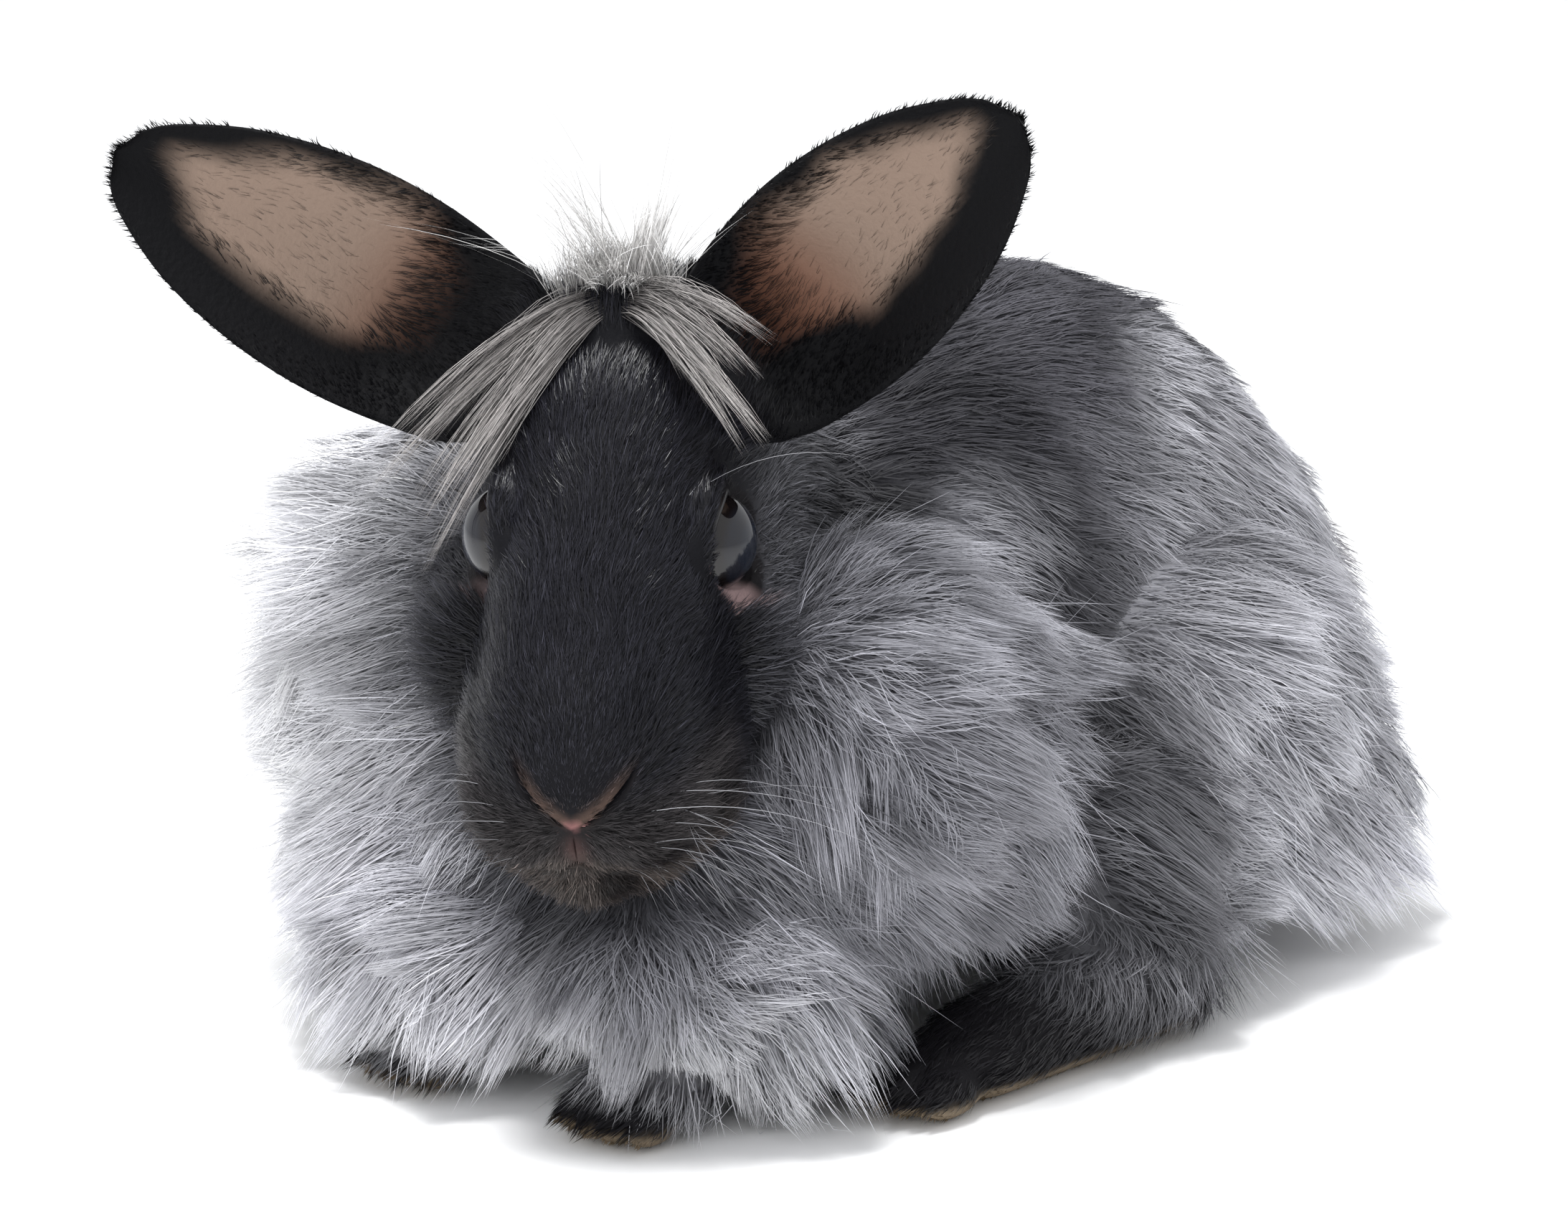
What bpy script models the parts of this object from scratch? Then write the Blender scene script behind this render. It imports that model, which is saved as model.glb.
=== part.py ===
"""A life-size lionhead rabbit, crouched with its head turned towards its left, in named solids."""
import math
import random

import bmesh
import bpy
from mathutils import Euler, Matrix, Vector
from mathutils.bvhtree import BVHTree

# Sizes are in millimetres until a mesh is made, and MM turns them into metres.
MM = 0.001
SEED = 7

# Clear gap kept between two nodes that meet.
JOINT_GAP = 0.3
HEAD_GAP = 0.7
HEAD_ROOM_TRIANGLES = 500

# Head: the middle of the two eyes, and how the head is turned.
EYES = Vector((14.0, -78.0, 100.0))
HEAD_YAW = math.radians(31.0)
HEAD_PITCH = math.radians(26.0)
EYE_RADIUS = 9.0
EYE_SIDE = 16.4
LID_LENGTH = 10.2
LID_HEIGHT = 9.8
LID_SIDE = 20.0
LID_TUBE = 2.0
LID_TILT = math.radians(140.0)

# Head sections from nose to nape: place along the head, top, bottom, widest height, half width.
HEAD_SECTIONS = (
    (-55.0, -12.0, -24.0, -17.0, 4.0),
    (-53.5, -8.5, -29.0, -18.0, 9.0),
    (-49.5, -4.5, -35.5, -20.0, 14.5),
    (-42.0, 0.5, -42.0, -22.0, 18.0),
    (-34.0, 5.0, -45.0, -23.0, 20.0),
    (-24.0, 10.0, -46.0, -21.0, 21.0),
    (-12.0, 15.0, -46.0, -18.0, 22.0),
    (0.0, 19.5, -46.0, -18.0, 23.5),
    (12.0, 23.5, -45.0, -17.0, 26.5),
    (24.0, 25.0, -42.0, -14.0, 28.5),
    (35.0, 21.0, -36.0, -9.0, 26.0),
    (44.0, 12.0, -24.0, -7.0, 18.0),
    (47.0, 1.0, -14.0, -7.0, 6.0),
)

# Ears: roots in the head's own axes, and the direction to the tip and of the opening in the animal's.
EAR_LENGTH = 76.0
EAR_ROOTS = {-1: Vector((-24.0, 26.0, 12.0)), 1: Vector((21.5, 26.0, 13.0))}
EAR_AXIS_RIGHT = Vector((-0.53, -0.64, 0.57))
EAR_AXIS_LEFT = Vector((0.74, -0.05, 0.67))
EAR_FACING_RIGHT = Vector((0.50, -0.80, 0.30))
EAR_FACING_LEFT = Vector((0.50, -0.85, 0.25))
EAR_HALF_WIDTHS = (
    (-0.12, 10.5),
    (0.0, 16.8),
    (0.15, 19.4),
    (0.35, 20.8),
    (0.55, 19.8),
    (0.75, 16.2),
    (0.90, 10.8),
    (0.97, 6.5),
    (1.0, 1.5),
)
EAR_INWARD = 4.0
EAR_CUP = 10.5
EAR_WALL = 2.6

# Torso sections from chest to rump: place, top, bottom, widest height, half width.
TORSO_SECTIONS = (
    (-46.0, 84.0, 24.0, 46.0, 14.0),
    (-42.0, 96.0, 16.0, 48.0, 32.0),
    (-34.0, 107.0, 10.0, 49.0, 45.0),
    (-15.0, 118.0, 6.0, 50.0, 53.0),
    (15.0, 129.0, 6.0, 50.0, 60.0),
    (45.0, 133.0, 6.0, 50.0, 62.0),
    (75.0, 128.0, 6.0, 48.0, 62.0),
    (100.0, 110.0, 7.0, 46.0, 55.0),
    (120.0, 86.0, 11.0, 42.0, 43.0),
    (134.0, 60.0, 18.0, 39.0, 26.0),
    (140.0, 45.0, 30.0, 37.0, 8.0),
)

# Neck ruff, as balls that run into one another: centre and radii.
RUFF_BALLS = (
    (Vector((-35.0, -60.0, 72.0)), Vector((48.0, 30.0, 46.0))),
    (Vector((-31.0, -69.0, 34.0)), Vector((46.0, 34.0, 31.0))),
    (Vector((-14.0, -81.0, 24.0)), Vector((44.0, 27.0, 21.0))),
    (Vector((28.0, -75.0, 26.0)), Vector((40.0, 30.0, 23.0))),
    (Vector((40.0, -38.0, 62.0)), Vector((37.0, 42.0, 50.0))),
    (Vector((-2.0, -36.0, 98.0)), Vector((40.0, 24.0, 32.0))),
)

# Limbs.
FORE_ELBOWS = {-1: Vector((-30.0, -34.0, 30.0)), 1: Vector((38.0, -34.0, 30.0))}
FORE_WRISTS = {-1: Vector((-19.0, -70.0, 14.0)), 1: Vector((30.0, -70.0, 14.0))}
FORE_TOES = {-1: Vector((-18.0, -98.0, 5.0)), 1: Vector((29.0, -98.0, 5.0))}
HAUNCH_BALLS = (
    (Vector((46.0, 46.0, 52.0)), Vector((38.0, 52.0, 44.0))),
    (Vector((49.0, 60.0, 36.0)), Vector((35.0, 45.0, 31.0))),
    (Vector((57.0, 12.0, 32.0)), Vector((25.0, 40.0, 28.0))),
)
HEEL = Vector((72.0, 14.0, 9.0))
HIND_TOE = Vector((60.0, -56.0, 5.0))
TAIL_ROOT = Vector((0.0, 124.0, 52.0))
TAIL_TIP = Vector((0.0, 148.0, 42.0))
TAIL_RADIUS = 15.0

# Locks: blades of fur that are sunk this far into their core and keep this far from other nodes.
LOCK_STEPS = 4
LOCK_SINK = 5.0
LOCK_CLEAR = 2.4
LOCK_GAP = 0.6
ROOT_CLEAR = 4.0
FLOOR_CLEAR = 4.5
LOWEST_FUR = 1.0
HEAD_LOCK_THICK = 2.2

# Each coat has the spacing of its locks' roots, their length, width, thickness, and how far their tips lift.
RUFF_CORE_SHARE = 0.70
RUFF_COAT = (18.0, 38.0, 23.0, 3.2, 14.0)
FLANK_CORE_SHARE = 0.86
FLANK_COAT = (24.0, 40.0, 26.0, 3.2, 7.0)
RUMP_COAT = (29.0, 42.0, 31.0, 3.5, 7.0)

# Forelocks fall outwards over the roots of the ears, and the crown tuft stands up between them.
FORELOCK_ROOT = Vector((5.4, 18.7, 25.0))
FORELOCK_TIPS = {-1: Vector((-31.0, -3.0, 8.0)), 1: Vector((28.0, 1.0, 14.0))}
FORELOCKS = 3
FORELOCK_WIDTH = 9.0
TUFT_CENTRE = Vector((1.0, 27.0, 24.0))
TUFT_LENGTH = 27.0
TUFT_WIDTH = 9.0
TUFT_LOCKS = 5

BLACK_FUR = (0.025, 0.025, 0.03, 1.0)
GREY_FUR = (0.35, 0.35, 0.38, 1.0)
SMOKE_FUR = (0.10, 0.10, 0.11, 1.0)
EYE_BROWN = (0.02, 0.012, 0.01, 1.0)


def clear_scene():
    for obj in list(bpy.data.objects):
        bpy.data.objects.remove(obj)


def material(name, colour, roughness):
    """A Principled BSDF of one colour."""
    made = bpy.data.materials.get(name) or bpy.data.materials.new(name)
    made.use_nodes = True
    shader = made.node_tree.nodes["Principled BSDF"]
    shader.inputs["Base Color"].default_value = colour
    shader.inputs["Roughness"].default_value = roughness
    shader.inputs["Metallic"].default_value = 0.0
    return made


def object_from(name, points, faces):
    """A mesh object from points in millimetres."""
    mesh = bpy.data.meshes.new(name)
    mesh.from_pydata([tuple(p * MM) for p in points], [], faces)
    mesh.update()
    obj = bpy.data.objects.new(name, mesh)
    bpy.context.scene.collection.objects.link(obj)
    return obj


def ring_body(name, rings, tip=None):
    """A closed body through rings of equal count, its ends closed by a fan to their middles or to the tip.

    A body with a tip is made of triangles, so that one a little larger stands clear of it everywhere.
    """
    count = len(rings[0])
    points = [p for ring in rings for p in ring]
    faces = []
    for i in range(len(rings) - 1):
        for j in range(count):
            a = i * count + j
            b = i * count + (j + 1) % count
            faces += [(a, b, b + count), (a, b + count, a + count)] if tip else [(a, b, b + count, a + count)]
    for first, ring, turn in ((0, rings[0], True), ((len(rings) - 1) * count, rings[-1], False)):
        middle = tip if tip and not turn else sum(ring, Vector()) / count
        points.append(middle)
        for j in range(count):
            corner = (first + j, first + (j + 1) % count, len(points) - 1)
            faces.append(corner[::-1] if turn else corner)
    obj = object_from(name, points, faces)
    face_outwards(obj)
    return obj


def face_outwards(obj):
    work = bmesh.new()
    work.from_mesh(obj.data)
    bmesh.ops.recalc_face_normals(work, faces=work.faces)
    work.to_mesh(obj.data)
    work.free()


def between(sections, place):
    """The section at a place along the body, smoothed between its neighbours."""
    last = len(sections) - 1
    i = 0
    while i < last - 1 and place > sections[i + 1][0]:
        i += 1
    low, high = sections[i], sections[i + 1]
    before, after = sections[max(i - 1, 0)], sections[min(i + 2, last)]
    span = high[0] - low[0]
    t = min(max((place - low[0]) / span, 0.0), 1.0)
    values = []
    for k in range(1, len(low)):
        slope_low = (high[k] - before[k]) / max(high[0] - before[0], 1e-6) * span
        slope_high = (after[k] - low[k]) / max(after[0] - low[0], 1e-6) * span
        values.append(
            (2 * t**3 - 3 * t**2 + 1) * low[k]
            + (t**3 - 2 * t**2 + t) * slope_low
            + (3 * t**2 - 2 * t**3) * high[k]
            + (t**3 - t**2) * slope_high
        )
    return values


def section_ring(place, section, count, power=2.2):
    """Points round a body's section in its own axes, flatter or rounder by the power."""
    top, bottom, widest, half_width = section
    ring = []
    for j in range(count):
        angle = math.tau * j / count
        across = math.copysign(abs(math.cos(angle)) ** (2 / power), math.cos(angle))
        rise = math.copysign(abs(math.sin(angle)) ** (2 / power), math.sin(angle))
        reach = top - widest if rise > 0 else widest - bottom
        ring.append(Vector((half_width * across, place, widest + reach * rise)))
    return ring


def lofted(name, sections, steps, count):
    """A body lofted through a table of sections."""
    first, last = sections[0][0], sections[-1][0]
    rings = []
    for i in range(steps + 1):
        eased = (1 - math.cos(math.pi * i / steps)) / 2
        place = first + (last - first) * eased
        rings.append(section_ring(place, between(sections, place), count))
    return ring_body(name, rings)


def ellipsoid(name, centre, radii, segments=24, turn=None):
    """A ball stretched to three radii, and turned if a rotation is given."""
    work = bmesh.new()
    bmesh.ops.create_uvsphere(work, u_segments=segments, v_segments=segments // 2, radius=1.0)
    matrix = Matrix.Diagonal((*radii, 1.0))
    if turn is not None:
        matrix = turn.to_4x4() @ matrix
    matrix = Matrix.Translation(centre) @ matrix
    bmesh.ops.transform(work, matrix=Matrix.Scale(MM, 4) @ matrix, verts=work.verts)
    mesh = bpy.data.meshes.new(name)
    work.to_mesh(mesh)
    work.free()
    obj = bpy.data.objects.new(name, mesh)
    bpy.context.scene.collection.objects.link(obj)
    return obj


def limb(name, stations, count=14):
    """A tube through (centre, half width, half height) stations, closed at both ends."""
    rings = []
    for i, (centre, wide, high) in enumerate(stations):
        before = stations[max(i - 1, 0)][0]
        after = stations[min(i + 1, len(stations) - 1)][0]
        along = (after - before).normalized()
        side = along.cross(Vector((0, 0, 1))).normalized()
        up = side.cross(along)
        rings.append([
            centre + side * wide * math.cos(math.tau * j / count) + up * high * math.sin(math.tau * j / count)
            for j in range(count)
        ])
    return ring_body(name, rings)


def evaluated_copy(obj):
    """The mesh as its modifiers leave it."""
    graph = bpy.context.evaluated_depsgraph_get()
    return bpy.data.meshes.new_from_object(obj.evaluated_get(graph))


def apply_modifiers(obj):
    made = evaluated_copy(obj)
    obj.modifiers.clear()
    obj.data = made


def united(name, pieces, solver="MANIFOLD"):
    """One body from closed pieces that overlap."""
    base = pieces[0]
    base.name = name
    if len(pieces) > 1:
        group = bpy.data.collections.new(name + "_pieces")
        bpy.context.scene.collection.children.link(group)
        for piece in pieces[1:]:
            bpy.context.scene.collection.objects.unlink(piece)
            group.objects.link(piece)
        union = base.modifiers.new("Union", "BOOLEAN")
        union.operation = "UNION"
        union.solver = solver
        union.operand_type = "COLLECTION"
        union.collection = group
        apply_modifiers(base)
        for piece in pieces[1:]:
            bpy.data.objects.remove(piece)
        bpy.data.collections.remove(group)
    return base


def fused(name, pieces, voxel, rounds, triangles):
    """One smooth body: the pieces are remeshed together, smoothed and thinned out."""
    base = united(name, pieces)
    remesh = base.modifiers.new("Remesh", "REMESH")
    remesh.mode = "VOXEL"
    remesh.voxel_size = voxel * MM
    smooth = base.modifiers.new("Smooth", "SMOOTH")
    smooth.factor = 0.5
    smooth.iterations = rounds
    apply_modifiers(base)
    thin_out(base, triangles)
    return base


def thin_out(obj, triangles):
    """Collapses edges until about this many triangles are left."""
    obj.data.calc_loop_triangles()
    decimate = obj.modifiers.new("Decimate", "DECIMATE")
    decimate.ratio = min(1.0, triangles / len(obj.data.loop_triangles))
    decimate.use_collapse_triangulate = True
    apply_modifiers(obj)


def inflated(obj, amount, triangles=0):
    """A copy that stands this far outside the object, in millimetres, and is thinned out first if asked."""
    copy = bpy.data.objects.new(obj.name + "_room", obj.data.copy())
    bpy.context.scene.collection.objects.link(copy)
    if triangles:
        thin_out(copy, triangles)
    displace = copy.modifiers.new("Displace", "DISPLACE")
    displace.strength = amount * MM
    displace.mid_level = 0.0
    apply_modifiers(copy)
    return copy


def cut_by(obj, cutters, keep_cutters=False):
    """Cuts the cutters from the object, and removes them unless they are kept for the next cut."""
    for cutter in cutters:
        cut = obj.modifiers.new("Cut", "BOOLEAN")
        cut.operation = "DIFFERENCE"
        cut.solver = "MANIFOLD"
        cut.object = cutter
        apply_modifiers(obj)
        if not keep_cutters:
            bpy.data.objects.remove(cutter)
    keep_largest(obj)
    return obj


def keep_largest(obj):
    """Leaves only the closed surface with the largest box."""
    work = bmesh.new()
    work.from_mesh(obj.data)
    left = set(work.verts)
    islands = []
    while left:
        start = left.pop()
        island, edge = {start}, [start]
        while edge:
            for link in edge.pop().link_edges:
                for vert in link.verts:
                    if vert not in island:
                        island.add(vert)
                        edge.append(vert)
        left -= island
        islands.append(island)
    islands.sort(key=box_size, reverse=True)
    for island in islands[1:]:
        bmesh.ops.delete(work, geom=list(island), context="VERTS")
    work.to_mesh(obj.data)
    work.free()


def box_size(island):
    spans = [max(v.co[k] for v in island) - min(v.co[k] for v in island) for k in range(3)]
    return spans[0] * spans[1] * spans[2]


def flat_below(obj, height):
    """Cuts the object off level at a height and closes the cut, so that it stands on a flat."""
    work = bmesh.new()
    work.from_mesh(obj.data)
    cut = bmesh.ops.bisect_plane(
        work,
        geom=work.verts[:] + work.edges[:] + work.faces[:],
        plane_co=(0, 0, height * MM),
        plane_no=(0, 0, -1),
        clear_outer=True,
    )
    rim = [e for e in cut["geom_cut"] if isinstance(e, bmesh.types.BMEdge)]
    bmesh.ops.triangle_fill(work, edges=rim, use_beauty=True)
    bmesh.ops.recalc_face_normals(work, faces=work.faces)
    work.to_mesh(obj.data)
    work.free()


def head_turn():
    """Rotation from the head's own axes to the whole animal's."""
    return Euler((HEAD_PITCH, 0.0, HEAD_YAW), "XYZ").to_matrix()


def place_on_head(obj):
    """Moves a mesh made in the head's own axes to where the head is."""
    obj.data.transform(Matrix.Translation(EYES * MM) @ head_turn().to_4x4())


def eye(side):
    obj = ellipsoid("eye", Vector((side * EYE_SIDE, 0.0, 0.0)), Vector((EYE_RADIUS,) * 3), 16)
    place_on_head(obj)
    return obj


def ear(name, side, axis, facing):
    """A cupped blade: a crescent section that is a closed stem at the root and opens upwards."""
    axis = axis.normalized()
    facing = (facing - axis * facing.dot(axis)).normalized()
    across = axis.cross(facing)
    root = EYES + head_turn() @ EAR_ROOTS[side]
    steps, half_count = 13, 6
    rings = []
    for i in range(steps + 1):
        share = -0.12 + 1.12 * math.sin(math.pi / 2 * i / steps) ** 0.9
        wide = between(EAR_HALF_WIDTHS, share)[0]
        cup = ear_cup(share)
        centre = root + axis * EAR_LENGTH * share - facing * ear_bow(share)
        centre -= across * side * EAR_INWARD * (1.0 - share)
        outer, inner = [], []
        for j in range(-half_count, half_count + 1):
            t = j / half_count
            edge_x = math.sin(t * math.pi / 2)
            back = -cup * (1 - edge_x**2)
            wall = ear_wall(share) * (0.35 + 0.65 * math.cos(t * math.pi / 2))
            outer.append(centre + across * wide * edge_x + facing * (back - wall * 0.5))
            if -half_count < j < half_count:
                inner.append(centre + across * (wide * 0.93) * edge_x + facing * (back + wall * 0.5))
        rings.append(outer + inner[::-1])
    return ring_body(name, rings)


def ear_cup(share):
    """How deep the cup is at a share of the length."""
    rise = min(max((share - 0.02) / 0.25, 0.0), 1.0)
    fall = min(max((share - 0.30) / 0.70, 0.0), 1.0)
    return EAR_CUP * rise * rise * (3 - 2 * rise) * (1 - 0.85 * fall)


def ear_wall(share):
    """Wall thickness: the stem is solid, and the blade thins towards its tip."""
    solid = min(max((0.16 - share) / 0.16, 0.0), 1.0)
    return EAR_WALL * (1.0 - 0.35 * max(share, 0.0)) + 12.0 * solid * solid


def ear_bow(share):
    """The blade bows a little backwards towards the tip."""
    return 5.0 * max(share, 0.0) ** 2


def head_pieces():
    skull = lofted("skull", HEAD_SECTIONS, 40, 36)
    cheeks = [
        ellipsoid("cheek", Vector((s * 17.5, 7.0, -22.0)), Vector((15.0, 28.0, 20.0)), 20) for s in (-1, 1)
    ]
    pads = [
        ellipsoid("pad", Vector((s * 9.0, -44.5, -22.0)), Vector((10.5, 10.0, 9.0)), 20) for s in (-1, 1)
    ]
    chin = ellipsoid("chin", Vector((0.0, -40.0, -35.0)), Vector((12.0, 10.5, 7.5)), 20)
    return [skull, *cheeks, *pads, chin, lid_ring(-1), lid_ring(1)]


def lid_ring(side):
    """The two lids as one oval ring round the eye."""
    around, tube_count = 20, 6
    rings = []
    for i in range(around):
        angle = math.tau * i / around
        out = Vector((0.0, math.cos(angle), math.sin(angle)))
        middle = Vector((side * LID_SIDE, LID_LENGTH * math.cos(angle), LID_HEIGHT * math.sin(angle)))
        middle.x -= side * (1.6 * math.cos(angle) ** 2 + 1.0 + math.cos(angle - LID_TILT))
        rings.append([
            middle
            + out * LID_TUBE * math.cos(math.tau * j / tube_count)
            + Vector((side * LID_TUBE * math.sin(math.tau * j / tube_count), 0.0, 0.0))
            for j in range(tube_count)
        ])
    points = [p for ring in rings for p in ring]
    faces = []
    for i in range(around):
        for j in range(tube_count):
            a = i * tube_count + j
            b = i * tube_count + (j + 1) % tube_count
            step = tube_count if i < around - 1 else tube_count - len(points)
            faces.append((a, b, b + step, a + step))
    obj = object_from("lid", points, faces)
    face_outwards(obj)
    return obj


def groove(name, route, half_width, depth):
    """A thin blade that follows a route, used to cut a slit into the face."""
    rings = []
    for i, (point, outwards) in enumerate(route):
        before = route[max(i - 1, 0)][0]
        after = route[min(i + 1, len(route) - 1)][0]
        along = (after - before).normalized()
        side = along.cross(outwards).normalized()
        swell = math.sin(math.pi * (i + 0.6) / (len(route) + 0.2))
        w = half_width * swell
        rings.append([
            point + outwards * 4.0 + side * w,
            point + outwards * 4.0 - side * w,
            point - outwards * depth * swell,
        ])
    return ring_body(name, rings)


def nostril(side):
    """The slit beside the nose leaf, running up and out from the middle."""
    route = []
    for i in range(6):
        t = i / 5
        point = Vector((side * (1.4 + 9.0 * t), -55.2 + 5.0 * t * t + 1.0 * t, -17.5 + 8.5 * t))
        outwards = Vector((side * (0.25 + 0.5 * t), -1.0, 0.0)).normalized()
        route.append((point, outwards))
    return groove("nostril", route, 1.1, 3.2)


def mouth():
    """The line between the lips, down from the nose and out to both corners."""
    route = []
    for i in range(13):
        t = (i - 6) / 6
        point = Vector((16.0 * t, -53.0 + 13.0 * t * t, -27.5 - 2.0 * math.sin(math.pi * abs(t))))
        outwards = Vector((0.9 * t, -1.0, -0.15)).normalized()
        route.append((point, outwards))
    return groove("mouth", route, 0.9, 3.0)


def philtrum():
    route = []
    for i in range(5):
        t = i / 4
        route.append((Vector((0.0, -55.0 + 1.5 * t, -17.5 - 9.5 * t)), Vector((0.0, -1.0, 0.0))))
    return groove("philtrum", route, 0.9, 2.6)


def head_body():
    body = fused("head", head_pieces(), 1.2, 4, 1050)
    sockets = [
        ellipsoid("socket", Vector((s * 24.0, 0.0, 0.0)), Vector((6.5, LID_LENGTH - 1.4, LID_HEIGHT - 1.4)), 14)
        for s in (-1, 1)
    ]
    cut_by(body, [*sockets, nostril(-1), nostril(1), philtrum(), mouth()])
    place_on_head(body)
    return body


def foreleg(name, side):
    elbow, wrist = FORE_ELBOWS[side], FORE_WRISTS[side]
    shoulder = Vector((side * 28.0, -16.0, 48.0))
    upper = limb("upper", [(shoulder, 9.0, 11.0), (shoulder.lerp(elbow, 0.5), 12.0, 13.0), (elbow, 12.0, 13.0)])
    lower = limb("lower", [(elbow, 11.0, 12.0), (elbow.lerp(wrist, 0.5), 11.0, 11.5), (wrist, 9.5, 9.0)])
    bend = ellipsoid("bend", elbow, Vector((12.5, 13.0, 13.0)), 16)
    return fused(name, [upper, lower, bend], 1.8, 3, 160)


def forepaw(name, side):
    wrist, toe = FORE_WRISTS[side], FORE_TOES[side]
    sole = limb("sole", [
        (wrist + Vector((0, 4, -1)), 8.5, 8.0),
        (wrist.lerp(toe, 0.4) + Vector((0, 0, -0.5)), 10.5, 9.0),
        (wrist.lerp(toe, 0.75), 12.0, 8.0),
        (toe, 8.0, 5.0),
    ])
    toes = [
        ellipsoid("toe", toe + Vector((side * dx, 1.5 + abs(dx) * 0.25, -0.5)), Vector((3.8, 8.0, 5.2)), 14)
        for dx in (-8.4, -2.8, 2.8, 8.4)
    ]
    body = fused(name, [sole, *toes], 1.2, 3, 300)
    flat_below(body, 0.0)
    return body


def thigh(name, side):
    balls = [
        ellipsoid("ball", Vector((side * centre.x, centre.y, centre.z)), radii * FLANK_CORE_SHARE, 20)
        for centre, radii in HAUNCH_BALLS
    ]
    return fused(name, balls, 3.0, 8, 240)


def hind_foot(name, side):
    mirror = Vector((side, 1, 1))
    heel, toe = HEEL * mirror, HIND_TOE * mirror
    sole = limb("sole", [
        (heel + Vector((0, 6, 3)), 6.0, 7.0),
        (heel + Vector((0, -2, 3)), 9.5, 13.0),
        (heel.lerp(toe, 0.4) + Vector((0, 0, 3)), 11.0, 12.5),
        (heel.lerp(toe, 0.75) + Vector((0, 0, 1.5)), 12.0, 10.0),
        (toe, 9.0, 5.5),
    ])
    toes = [
        ellipsoid("toe", toe + Vector((side * dx, 1.5 + abs(dx) * 0.3, 0.0)), Vector((4.4, 10.0, 5.8)), 14)
        for dx in (-9.0, -3.0, 3.0, 9.0)
    ]
    body = fused(name, [sole, *toes], 1.3, 3, 340)
    flat_below(body, 0.0)
    return body


def tail():
    stem = ellipsoid("stem", TAIL_ROOT, Vector((12.0, 14.0, 12.0)), 16)
    tuft = ellipsoid("tuft", TAIL_ROOT.lerp(TAIL_TIP, 0.75), Vector((TAIL_RADIUS, 18.0, 14.0)), 18)
    return fused("tail", [stem, tuft], 1.6, 3, 300)


def torso_body():
    return fused("torso", [lofted("trunk", TORSO_SECTIONS, 28, 36)], 3.5, 6, 420)


def ruff_body():
    balls = [ellipsoid("ball", centre, radii * RUFF_CORE_SHARE, 24) for centre, radii in RUFF_BALLS]
    return fused("neck_ruff", balls, 3.0, 8, 300)


def lock_rings(route, width, thick, flat_to, grow=0.0):
    """Three-cornered sections along a route: narrow at the root, widest a third of the way along."""
    rings = []
    last = len(route) - 1
    for i, point in enumerate(route[:-1]):
        along = (route[i + 1] - route[max(i - 1, 0)]).normalized()
        side = along.cross(flat_to).normalized()
        up = side.cross(along)
        share = i / last
        taper = 0.55 + 0.45 * math.sin(math.pi * min(share / 0.7, 1.0)) - 0.30 * max(share - 0.35, 0.0)
        high = thick * (1.0 - 0.6 * share) + grow
        wide = (width / 2 * taper + grow) * (high + grow) / high
        back = along * (grow if i == 0 else 0.0)
        rings.append([
            point - back + side * wide - up * grow,
            point - back + up * high,
            point - back - side * wide - up * grow,
        ])
    for ring in rings:
        for lift, corner in zip((0.0, 1.5, 0.0), ring):
            corner.z = max(corner.z, LOWEST_FUR + lift)
    return rings


def runs_forward(rings):
    """Whether each section lies wholly ahead of the one before it, so that the blade doesn't fold over."""
    for before, after in zip(rings, rings[1:]):
        along = sum(after, Vector()) - sum(before, Vector())
        facing = (before[0] - before[1]).cross(before[2] - before[1])
        ahead = (after[0] - after[1]).cross(after[2] - after[1])
        if facing.dot(ahead) <= 0 or any((b - a).dot(along) <= 0 for a, b in zip(before, after)):
            return False
    return True


def lock_and_room(route, width, thick, flat_to):
    """A flat blade along a route, and the same with the gap to its neighbours round it, or nothing if it folds."""
    blade = lock_rings(route, width, thick, flat_to)
    room = lock_rings(route, width, thick, flat_to, LOCK_GAP)
    if not runs_forward(blade) or not runs_forward(room):
        return []
    tip = route[-1]
    return [(ring_body("lock", blade, tip), ring_body("room", room, tip + (tip - route[-2]).normalized()))]


def grown_route(root, normal, lie, length, lift, own, keep_off, droop):
    """Steps from under the surface out along the lie, lifting off its own core and kept off its neighbours."""
    heading = (normal * lift / length * 2.0 + lie).normalized()
    route = [root - (heading * 0.5 + normal).normalized() * LOCK_SINK]
    point = root + normal * 0.5
    step = length / (LOCK_STEPS - 1)
    route.append(point.copy())
    for k in range(1, LOCK_STEPS):
        heading = (heading + lie * 0.3 + Vector((0, 0, -droop))).normalized()
        point = point + heading * step
        point = kept_off(point, own, 1.5 + (lift - 1.5) * k / (LOCK_STEPS - 1))
        point = kept_off(point, keep_off, LOCK_CLEAR)
        point.z = max(point.z, FLOOR_CLEAR)
        route.append(point.copy())
    return route


def kept_off(point, tree, clear):
    """The point, moved out of any body in the tree to this distance."""
    near, facing, _, far = tree.find_nearest(point * MM)
    if near is None:
        return point
    near, far = near / MM, far / MM
    inside = (point - near).dot(facing) < 0
    return near + facing * clear if inside or far < clear else point


def tree_of(objects):
    """One search tree for the surfaces of several objects."""
    points, faces = [], []
    for obj in objects:
        first = len(points)
        points += [v.co.copy() for v in obj.data.vertices]
        faces += [[first + v for v in face.vertices] for face in obj.data.polygons]
    return BVHTree.FromPolygons(points, faces)


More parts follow.
